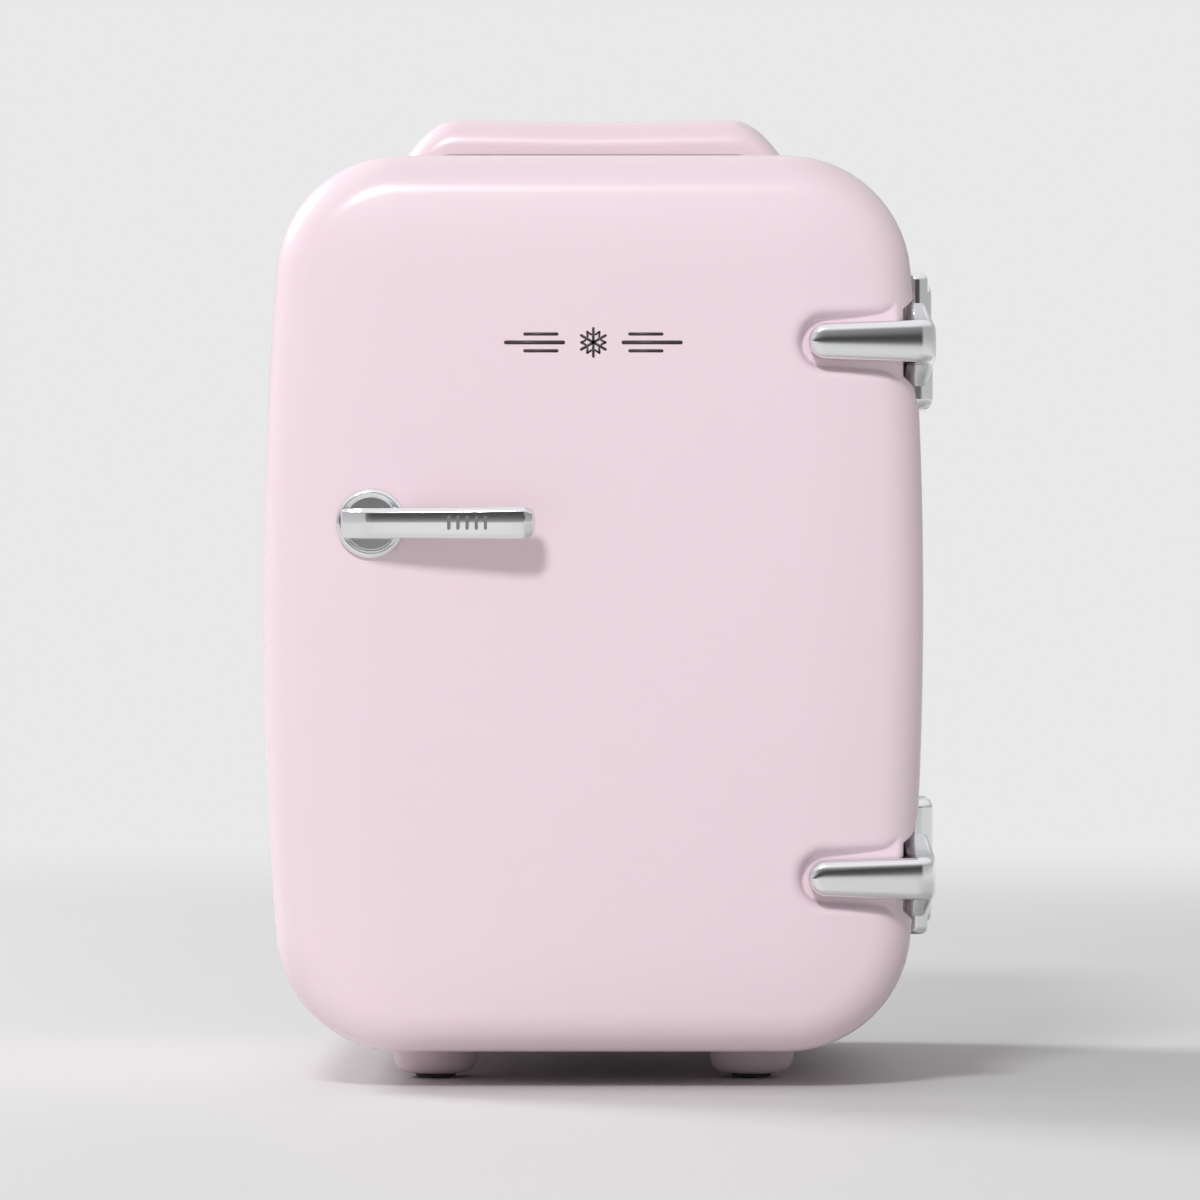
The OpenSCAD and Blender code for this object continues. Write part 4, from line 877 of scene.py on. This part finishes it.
# A strap's outer face beyond the hinge axis, its corner, bulge and tuck, and its fan to the barrel
STRAP_OUT = 0.0034
STRAP_CORNER_R = 0.005
STRAP_BULGE = 0.0014
STRAP_TUCK = 0.0006
FAN_START = 0.30
FAN_HALF = 0.0142


def strap_path():
    """The strap's outer face as seen from above: points with direction, from the tip round the
    door's edge to the hinge. Each row is x, y, outward x, outward y, and how far along the side."""
    hinges = bpy.context.scene.fridge_hinges
    front = Y_FRONT - hinges.proud
    out = AXIS_X + STRAP_OUT
    corner, bulge = STRAP_CORNER_R, STRAP_BULGE
    rows = []
    nose = hinges.half_tip
    for i in range(11):
        rows.append((TIP_X + nose * (1 - math.cos(math.pi / 2 * i / 10)), front, 0.0, -1.0, 0.0))
    straight = out - corner - TIP_X - nose
    for i in range(1, 20):
        rows.append((TIP_X + nose + straight * i / 20, front, 0.0, -1.0, 0.0))
    for i in range(11):
        a = math.pi / 2 * i / 10
        rows.append((out - corner + corner * math.sin(a), front + corner * (1 - math.cos(a)),
                     math.sin(a), -math.cos(a), 0.0))
    run = AXIS_Y - front - corner
    for i in range(1, 31):
        t = i / 30
        lean = bulge * math.pi / run * math.cos(math.pi * t)
        rows.append((out + bulge * math.sin(math.pi * t) - STRAP_TUCK * t ** 4, front + corner + run * t,
                     1.0, -lean, t))
    return rows


def strap_half(x, t, hinges):
    """Half height of a strap at a place along it."""
    if t > 0:
        fan = max((t - FAN_START) / (1 - FAN_START), 0.0)
        return hinges.half_root + (FAN_HALF - hinges.half_root) * fan ** 2
    nose = hinges.half_tip
    if x < TIP_X + nose:
        return nose * math.sqrt(max(1 - ((TIP_X + nose - x) / nose) ** 2, 0.0004))
    run = (x - TIP_X - nose) / (AXIS_X - TIP_X - nose)
    return hinges.half_tip + (hinges.half_root - hinges.half_tip) * min(run, 1.0)


def strap_section(half, bevel, crown, thick):
    """Section across a strap: height and depth below the outer face, top to bottom and back."""
    flat = max(half - bevel, half * 0.35)
    edge = half - flat
    points = []
    for i in range(13):
        s = 1 - 2 * i / 12
        points.append((flat * s, crown * s * s))
    lower = [(-flat - edge * math.sin(a), crown + edge * (1 - math.cos(a)))
             for a in [math.radians(15 * k) for k in range(1, 7)]]
    back = max(thick, crown + edge + 0.0002)
    points += lower + [(-half, back), (half, back)]
    points += [(-h, d) for h, d in reversed(lower)]
    return points


def barrel_split(which, side):
    """Height at which a barrel's two halves meet."""
    return hinge_z(which) - side * 0.0008


def knuckle(radius, tall, dome, z, side, steps):
    """Half of a barrel, from height z up or down to its domed end."""
    profile = [(0.0, 0.0), (radius - 0.0003, 0.0), (radius, 0.0003), (radius, tall - dome)]
    profile += [(radius - dome + dome * math.cos(a), tall - dome + dome * math.sin(a))
                for a in [math.pi / 2 * i / 6 for i in range(1, 7)]]
    profile += [(0.0, tall)]
    return turned("knuckle", profile, (AXIS_X, AXIS_Y, z), (0, 0, side), steps)


class FRIDGE_OT_hinge_straps(bpy.types.Operator):
    """Chrome straps: round nosed bars that wrap the door's edge and fan out to their knuckles"""
    bl_idname = "fridge.hinge_straps"
    bl_label = "Hinge straps"

    def execute(self, context):
        for which, side in HINGES.items():
            self.strap(context.scene.fridge_hinges, which, side)
        return {"FINISHED"}

    def strap(self, hinges, which, side):
        z0 = strap_z(which)
        rings = []
        for x, y, out_x, out_y, t in strap_path():
            half = strap_half(x, t, hinges)
            thick = hinges.proud + hinges.foot if t == 0 else x - AXIS_X + hinges.leg
            nose = min(half / hinges.half_tip, 1.0)
            bevel = hinges.bevel * (0.4 + 0.6 * nose)
            crown = hinges.crown + 0.0012 * (1 - nose) ** 2
            scale = math.hypot(out_x, out_y)
            sink = hinges.half_tip * 0.35 * (1 - nose) ** 2
            ring = [Vector((x - out_x / scale * (d + sink), y - out_y / scale * (d + sink), z0 + h))
                    for h, d in strap_section(half, bevel, crown, thick - sink)]
            rings.append(ring)
        bar = loft("bar", rings)
        edge = barrel_split(which, side) + side * 0.0004
        end = BARRELS[which][1] if side > 0 else BARRELS[which][0]
        clear = hinges.leaf_knuckle_r + 0.0006
        pocket = turned("pocket", [(0.0, -0.03), (clear, -0.03), (clear, 0.0), (0.0, 0.0)],
                        (AXIS_X, AXIS_Y, edge), (0, 0, side), 64)
        carve(bar, [pocket])
        soften(bar, 0.0, angle=30)
        half_barrel = knuckle(hinges.knuckle_r, abs(end - edge), 0.0022, edge, side, 48)
        joined = join("strap_" + which, [baked(bar), half_barrel])
        soften(joined, 0.0, angle=35)
        finish_piece(joined, "door", "chrome_trim", "hinge_strap_" + which)


class FRIDGE_OT_hinge_leaves(bpy.types.Operator):
    """Chrome leaves on the cabinet's side with their knuckles"""
    bl_idname = "fridge.hinge_leaves"
    bl_label = "Hinge leaves"

    def execute(self, context):
        for which, side in HINGES.items():
            self.leaf(context.scene.fridge_hinges, which, side)
        return {"FINISHED"}

    def leaf(self, hinges, which, side):
        low, high = LEAVES[which]
        inner = BARRELS[which][0] if side > 0 else BARRELS[which][1]
        split = barrel_split(which, side)
        plate_y = AXIS_Y + 0.008
        mid_y, half_y = (plate_y + high.y) / 2, (high.y - plate_y) / 2
        mid_z, half_z = (low.z + high.z) / 2, (high.z - low.z) / 2
        edge_r, corner_r = 0.0016, 0.0022
        rows = [(0.0, low.x)]
        rows += [(edge_r * (1 - math.cos(a)), high.x - edge_r * (1 - math.sin(a)))
                 for a in [math.pi / 2 * i / 6 for i in range(7)]]
        plate = loft("plate", [
            rounded_ring(half_y - inset, half_z - inset, corner_r,
                         lambda y, z, x=x: Vector((x, mid_y + y, mid_z + z))) for inset, x in rows])
        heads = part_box("hinge_leaf_screws")
        screw_ys = (heads[0].y + 0.0026, heads[1].y - 0.0026)
        seats = [turned("seat", [(0.0, -0.0022), (0.0029, -0.0022), (0.0029, 0.001), (0.0, 0.001)],
                        (high.x, y, hinge_z(which)), (1, 0, 0), 40) for y in screw_ys]
        carve(plate, seats)
        neck_out = AXIS_X + 0.0014
        neck = loft("neck", [[Vector((low.x, AXIS_Y, z)), Vector((neck_out, AXIS_Y, z)),
                              Vector((neck_out, plate_y + 0.001, z)),
                              Vector((low.x, plate_y + 0.001, z))] for z in (inner, split)])
        half_barrel = knuckle(hinges.leaf_knuckle_r, abs(split - inner), 0.0026, split, -side, 56)
        joined = join("leaf_" + which, [plate, neck, half_barrel])
        soften(joined, 0.0, angle=35)
        finish_piece(joined, "cabinet", "chrome_trim", "hinge_leaf_" + which)


# --- Pull lever ---------------------------------------------------------------------------

class FRIDGE_OT_rosette(bpy.types.Operator):
    """Round chrome rosette with a bevelled rim, a flat face and a fine groove"""
    bl_idname = "fridge.rosette"
    bl_label = "Rosette"

    def execute(self, context):
        radius = (ROSETTE_HIGH.x - ROSETTE_LOW.x) / 2
        tall = ROSETTE_HIGH.y - ROSETTE_LOW.y
        middle = (ROSETTE_LOW + ROSETTE_HIGH) / 2
        centre = (middle.x, ROSETTE_HIGH.y, middle.z)
        profile = [(0.0, 0.0), (radius - 0.0002, 0.0), (radius, 0.0003), (radius, 0.0007)]
        profile += [(radius - 0.0014 + 0.0014 * math.cos(a), 0.0007 + (tall - 0.0009) * math.sin(a))
                    for a in [math.pi / 2 * i / 6 for i in range(1, 7)]]
        profile += [(radius - 0.0019, tall - 0.0004), (radius - 0.0023, tall - 0.0004),
                    (radius - 0.0026, tall), (radius * 0.5, tall), (0.0, tall)]
        plate = turned("rosette", profile, centre, (0, -1, 0), 96)
        soften(plate, 0.0, angle=28)
        finish_piece(plate, "door", "chrome_trim", "handle_rosette")
        return {"FINISHED"}


LEVER_HALF = 0.0042
LEVER_RIDGE = 0.0002
RIB_COUNT = 5
RIB_PITCH = 0.0026
RIB_FROM_TIP = 0.0245


class FRIDGE_OT_pull_lever(bpy.types.Operator):
    """Pull lever: a cranked chrome bar with a faceted face and a cut tip"""
    bl_idname = "fridge.pull_lever"
    bl_label = "Pull lever"

    def execute(self, context):
        z = (LEVER_LOW.z + LEVER_HIGH.z) / 2
        out, root = LEVER_LOW.y, LEVER_HIGH.y
        x0, tip = LEVER_LOW.x, LEVER_HIGH.x
        half = LEVER_HALF
        # x, outer y, inner y, half height, along the lever
        rows = [
            (x0, root - 0.0010, root, half * 0.90),
            (x0 + 0.0006, root - 0.0024, root, half * 0.97),
            (x0 + 0.0030, out + 0.0092, root, half),
            (x0 + 0.0058, out + 0.0062, root, half),
            (x0 + 0.0072, out + 0.0052, root, half),
            (x0 + 0.0100, out + 0.0044, root, half),
            (x0 + 0.0168, out + 0.0034, root, half * 1.01),
            (x0 + 0.0195, out + 0.0030, out + 0.0115, half * 1.02),
            (x0 + 0.0225, out + 0.0026, out + 0.0096, half * 1.02),
            (x0 + 0.0300, out + 0.0018, out + 0.0086, half * 1.04),
            (x0 + 0.0400, out + 0.0008, out + 0.0072, half * 1.06),
            (tip - 0.0080, out + 0.0001, out + 0.0062, half * 1.08),
            (tip - 0.0030, out + 0.0001, out + 0.0057, half * 1.08),
            (tip - 0.0008, out + 0.0009, out + 0.0054, half * 0.92),
            (tip, out + 0.0022, out + 0.0048, half * 0.62),
        ]
        rings = []
        for x, y_out, y_in, h in rows:
            thick = y_in - y_out
            cut = min(0.0013, thick * 0.35)
            rings.append([
                Vector((x, y_out + cut, z + h)), Vector((x, y_out + cut * 0.06, z + h - cut * 0.9)),
                Vector((x, y_out, z + LEVER_RIDGE)), Vector((x, y_out + 0.0001, z - h * 0.15)),
                Vector((x, y_out + cut * 0.45, z - h + cut * 0.9)), Vector((x, y_out + cut, z - h)),
                Vector((x, y_in - cut * 0.6, z - h)), Vector((x, y_in, z - h + cut * 0.6)),
                Vector((x, y_in, z + h - cut * 0.6)), Vector((x, y_in - cut * 0.6, z + h)),
            ])
        lever = loft("pull_lever_bar", rings)
        soften(lever, 0.00035, 3, 14)
        finish_piece(lever, "door", "chrome_trim", "pull_lever")
        ribs = []
        for i in range(RIB_COUNT):
            x = tip - RIB_FROM_TIP + RIB_PITCH * i
            ribs.append(loft("rib", [
                rounded_ring(0.00045, half * 0.48, 0.0004,
                             lambda a, b, y=y, x=x: Vector((x + a, y, z + b)), 3)
                for y in (out + 0.0024, out + 0.0004)]))
        grip = join("lever_ribs", ribs)
        soften(grip, 0.0, angle=40)
        finish_piece(grip, "door", "chrome_trim")
        return {"FINISHED"}


# --- Emblem -------------------------------------------------------------------------------

EMBLEM_RISE = 0.0746
EMBLEM_PROUD = 0.00006
CRYSTAL_REACH = 0.0040


class FRIDGE_OT_emblem(bpy.types.Operator):
    """Small printed emblem on the door: an ice crystal between two rounded bars"""
    bl_idname = "fridge.emblem"
    bl_label = "Emblem"

    def execute(self, context):
        z, y = Z_MID + EMBLEM_RISE, Y_FRONT - EMBLEM_PROUD
        strokes = []

        def stroke(x, dz, along, half, thick):
            """A round-ended stroke about a middle, with its direction in degrees."""
            a0 = math.radians(along)
            flat = []
            for end, start in ((1, -90), (-1, 90)):
                for i in range(9):
                    a = math.radians(start + 180 * i / 8)
                    u, v = end * half + thick * math.cos(a), thick * math.sin(a)
                    flat.append((x + u * math.cos(a0) - v * math.sin(a0),
                                 z + dz + u * math.sin(a0) + v * math.cos(a0)))
            strokes.append(loft("stroke", [[Vector((px, py, pz)) for px, pz in flat]
                                           for py in (Y_FRONT + 0.0001, y)]))

        for side in (-1, 1):
            stroke(side * 0.0168, 0.0, 0.0, 0.0082, 0.00055)
            stroke(side * 0.0150, 0.0024, 0.0, 0.0046, 0.00045)
            stroke(side * 0.0150, -0.0024, 0.0, 0.0046, 0.00045)
        for arm in range(6):
            a = 60 * arm + 30
            half = CRYSTAL_REACH / 2
            stroke(math.cos(math.radians(a)) * half, math.sin(math.radians(a)) * half, a, half, 0.00038)
            for lean in (-1, 1):
                b = math.radians(a + lean * 24)
                stroke(math.cos(b) * 0.0029, math.sin(b) * 0.0029, a + lean * 55, 0.00065, 0.0003)
        emblem = join("door_emblem", strokes)
        emblem.data.materials.append(emblem_print())
        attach(emblem, "door")
        return {"FINISHED"}


# --- Carried-over nodes -------------------------------------------------------------------

class FRIDGE_OT_dress_nodes(bpy.types.Operator):
    """Finishes and softened edges for every node that keeps its own shape"""
    bl_idname = "fridge.dress_nodes"
    bl_label = "Dress nodes"

    def execute(self, context):
        slots = {row["node"]: row["material_slot"] for row in frame["record"]["subparts"]}
        for node, obj in frame["nodes"].items():
            made = FINISHES[slots[node]]()
            obj.data.materials.clear()
            obj.data.materials.append(made)
            for face in obj.data.polygons:
                face.material_index = 0
            if not obj.hide_render:
                obj.data.polygons.foreach_set("use_smooth", [True] * len(obj.data.polygons))
                even = obj.modifiers.new("shading", "WEIGHTED_NORMAL")
                even.keep_sharp = True
                even.weight = 100
        return {"FINISHED"}


# --- Studio -------------------------------------------------------------------------------

PALE = (0.807, 0.815, 0.807)
FLOOR_SIZE = 14.0
FADE_FROM, FADE_TO = 0.55, 1.9

# The soft light is strongest from here: left, front and above
LIGHT_LEAN = (-0.16, -0.09, 0.08)

# Greys that the chrome picks up, as (place, level) from just under the horizon to straight up.
# The first row holds straight ahead of the fridge, the second everywhere else.
RISE_SPAN = (-0.2, 1.0)
AHEAD_SPAN = (-0.70, -0.88)
LEVELS_AHEAD = [(0.0, 0.86), (0.1625, 0.86), (0.1650, 0.02), (0.245, 0.02), (0.262, 0.22),
                (0.33, 0.30), (0.42, 0.62), (0.60, 0.90), (1.0, 1.0)]
LEVELS_AROUND = [(0.0, 0.80), (0.16, 0.74), (0.20, 0.50), (0.30, 0.46), (0.42, 0.66), (0.60, 0.90),
                 (1.0, 1.0)]


def aim(obj, place_at, target):
    obj.location = place_at
    obj.rotation_euler = (Vector(target) - Vector(place_at)).to_track_quat("-Z", "Y").to_euler()


def soft_box(name, place_at, target, width, height, power):
    """A rectangular lamp with a soft edge to its shadows."""
    lamp = bpy.data.lights.new(name, "AREA")
    lamp.shape = "RECTANGLE"
    lamp.size, lamp.size_y = width, height
    lamp.energy = power
    holder = new_object(name, lamp)
    aim(holder, place_at, target)
    return holder


class FRIDGE_OT_studio(bpy.types.Operator):
    """Pale floor, soft lamps, pale surroundings and the camera"""
    bl_idname = "fridge.studio"
    bl_label = "Studio"

    def execute(self, context):
        studio = context.scene.fridge_studio
        self.floor()
        self.surroundings(studio)
        middle = (0, 0, Z_MID)
        soft_box("key", (-0.62, -2.6, 1.95), (0, -0.1, Z_MID), 0.55, 0.45, studio.key)
        soft_box("side", (-1.5, 0.9, 1.3), middle, 0.7, 0.7, studio.side)
        camera = bpy.data.cameras.new("camera")
        camera.lens = studio.lens
        camera.sensor_width = 36
        camera.clip_start, camera.clip_end = 0.05, 60
        holder = new_object("camera", camera)
        holder.location = (studio.camera_x, Y_FRONT - studio.distance, studio.camera_z)
        holder.rotation_euler = (math.pi / 2, 0, 0)
        context.scene.camera = holder
        context.scene.view_settings.view_transform = "Standard"
        return {"FINISHED"}

    def floor(self):
        """A wide floor that fades into the pale surroundings away from the fridge."""
        corners = [(sx * FLOOR_SIZE, sy * FLOOR_SIZE, 0) for sx, sy in ((-1, -1), (1, -1), (1, 1), (-1, 1))]
        floor = mesh_of("floor", corners, [(0, 1, 2, 3)])
        made, tree, shader = material("floor", (0.69, 0.69, 0.686), 0.0, 0.55)
        drift = grain(tree, 3.0, 3.0)
        tree.links.new(shades(tree, drift, (0.685, 0.687, 0.682), (0.695, 0.695, 0.69)),
                       shader.inputs["Base Color"])
        far = tree.nodes.new("ShaderNodeVectorMath")
        far.operation = "LENGTH"
        tree.links.new(place(tree), far.inputs[0])
        fade = tree.nodes.new("ShaderNodeMapRange")
        fade.inputs["From Min"].default_value = FADE_FROM
        fade.inputs["From Max"].default_value = FADE_TO
        fade.interpolation_type = "SMOOTHSTEP"
        tree.links.new(far.outputs["Value"], fade.inputs["Value"])
        glow = tree.nodes.new("ShaderNodeEmission")
        glow.inputs["Color"].default_value = (*PALE, 1)
        mix = tree.nodes.new("ShaderNodeMixShader")
        tree.links.new(fade.outputs["Result"], mix.inputs["Fac"])
        tree.links.new(shader.outputs["BSDF"], mix.inputs[1])
        tree.links.new(glow.outputs["Emission"], mix.inputs[2])
        tree.links.new(mix.outputs["Shader"], tree.nodes["Material Output"].inputs["Surface"])
        floor.data.materials.append(made)

    def surroundings(self, studio):
        """Pale all round, with a dark band low in front that the chrome picks up."""
        world = bpy.data.worlds.new("surroundings")
        world.use_nodes = True
        tree = world.node_tree
        background = tree.nodes["Background"]
        direction = tree.nodes.new("ShaderNodeTexCoord").outputs["Generated"]
        split = tree.nodes.new("ShaderNodeSeparateXYZ")
        tree.links.new(direction, split.inputs["Vector"])
        rise = self.over(tree, split.outputs["Z"], *RISE_SPAN)
        ahead = self.levels(tree, rise, LEVELS_AHEAD)
        around = self.levels(tree, rise, LEVELS_AROUND)
        facing = self.over(tree, split.outputs["Y"], *AHEAD_SPAN)
        glossy = self.either(tree, facing, around, ahead)
        path = tree.nodes.new("ShaderNodeLightPath")
        lean = tree.nodes.new("ShaderNodeVectorMath")
        lean.operation = "DOT_PRODUCT"
        lean.inputs[1].default_value = LIGHT_LEAN
        tree.links.new(direction, lean.inputs[0])
        soft = tree.nodes.new("ShaderNodeMath")
        soft.inputs[1].default_value = studio.ambient
        tree.links.new(lean.outputs["Value"], soft.inputs[0])
        lit = self.either(tree, path.outputs["Is Glossy Ray"], soft.outputs["Value"], glossy)
        pale = tree.nodes.new("ShaderNodeRGB").outputs["Color"]
        pale.default_value = (*PALE, 1)
        seen = self.either(tree, path.outputs["Is Camera Ray"], lit, pale)
        tree.links.new(seen, background.inputs["Color"])
        bpy.context.scene.world = world

    def over(self, tree, source, low, high):
        """0 to 1 as the source runs from low to high."""
        span = tree.nodes.new("ShaderNodeMapRange")
        span.inputs["From Min"].default_value = low
        span.inputs["From Max"].default_value = high
        tree.links.new(source, span.inputs["Value"])
        return span.outputs["Result"]

    def levels(self, tree, source, stops):
        """Greys over the source, from (place, level) stops."""
        ramp = tree.nodes.new("ShaderNodeValToRGB")
        elements = ramp.color_ramp.elements
        while len(elements) < len(stops):
            elements.new(0.5)
        for element, (at, level) in zip(elements, stops):
            element.position = at
            element.color = (level, level, level * 1.01, 1)
        tree.links.new(source, ramp.inputs["Fac"])
        return ramp.outputs["Color"]

    def either(self, tree, chooser, first, second):
        """The first colour, or the second where chooser is 1."""
        mix = tree.nodes.new("ShaderNodeMixRGB")
        tree.links.new(chooser, mix.inputs["Fac"])
        tree.links.new(first, mix.inputs["Color1"])
        tree.links.new(second, mix.inputs["Color2"])
        return mix.outputs["Color"]


# --- Add-on parts -------------------------------------------------------------------------

SETTINGS = {
    "fridge_body": FRIDGE_PG_body,
    "fridge_hinges": FRIDGE_PG_hinges,
    "fridge_finishes": FRIDGE_PG_finishes,
    "fridge_studio": FRIDGE_PG_studio,
}

OPERATORS = [
    FRIDGE_OT_door_skin, FRIDGE_OT_cabinet_shell, FRIDGE_OT_carry_handle, FRIDGE_OT_feet,
    FRIDGE_OT_hinge_straps, FRIDGE_OT_hinge_leaves, FRIDGE_OT_rosette, FRIDGE_OT_pull_lever,
    FRIDGE_OT_emblem, FRIDGE_OT_dress_nodes, FRIDGE_OT_studio,
]


class FRIDGE_PT_panel(bpy.types.Panel):
    """Settings and steps of the fridge"""
    bl_idname = "FRIDGE_PT_panel"
    bl_label = "Mini Fridge"
    bl_space_type = "VIEW_3D"
    bl_region_type = "UI"
    bl_category = "Fridge"

    def draw(self, context):
        for name, group in SETTINGS.items():
            box = self.layout.box()
            for prop in group.__annotations__:
                box.prop(getattr(context.scene, name), prop)
        for operator in OPERATORS:
            self.layout.operator(operator.bl_idname)


CLASSES = [*SETTINGS.values(), *OPERATORS, FRIDGE_PT_panel]


def register():
    for cls in CLASSES:
        bpy.utils.register_class(cls)
    for name, group in SETTINGS.items():
        setattr(bpy.types.Scene, name, bpy.props.PointerProperty(type=group))


def unregister():
    for name in SETTINGS:
        delattr(bpy.types.Scene, name)
    for cls in reversed(CLASSES):
        bpy.utils.unregister_class(cls)


def main():
    register()
    for operator in OPERATORS:
        group, step = operator.bl_idname.split(".")
        getattr(getattr(bpy.ops, group), step)()


if __name__ == "__main__":
    main()
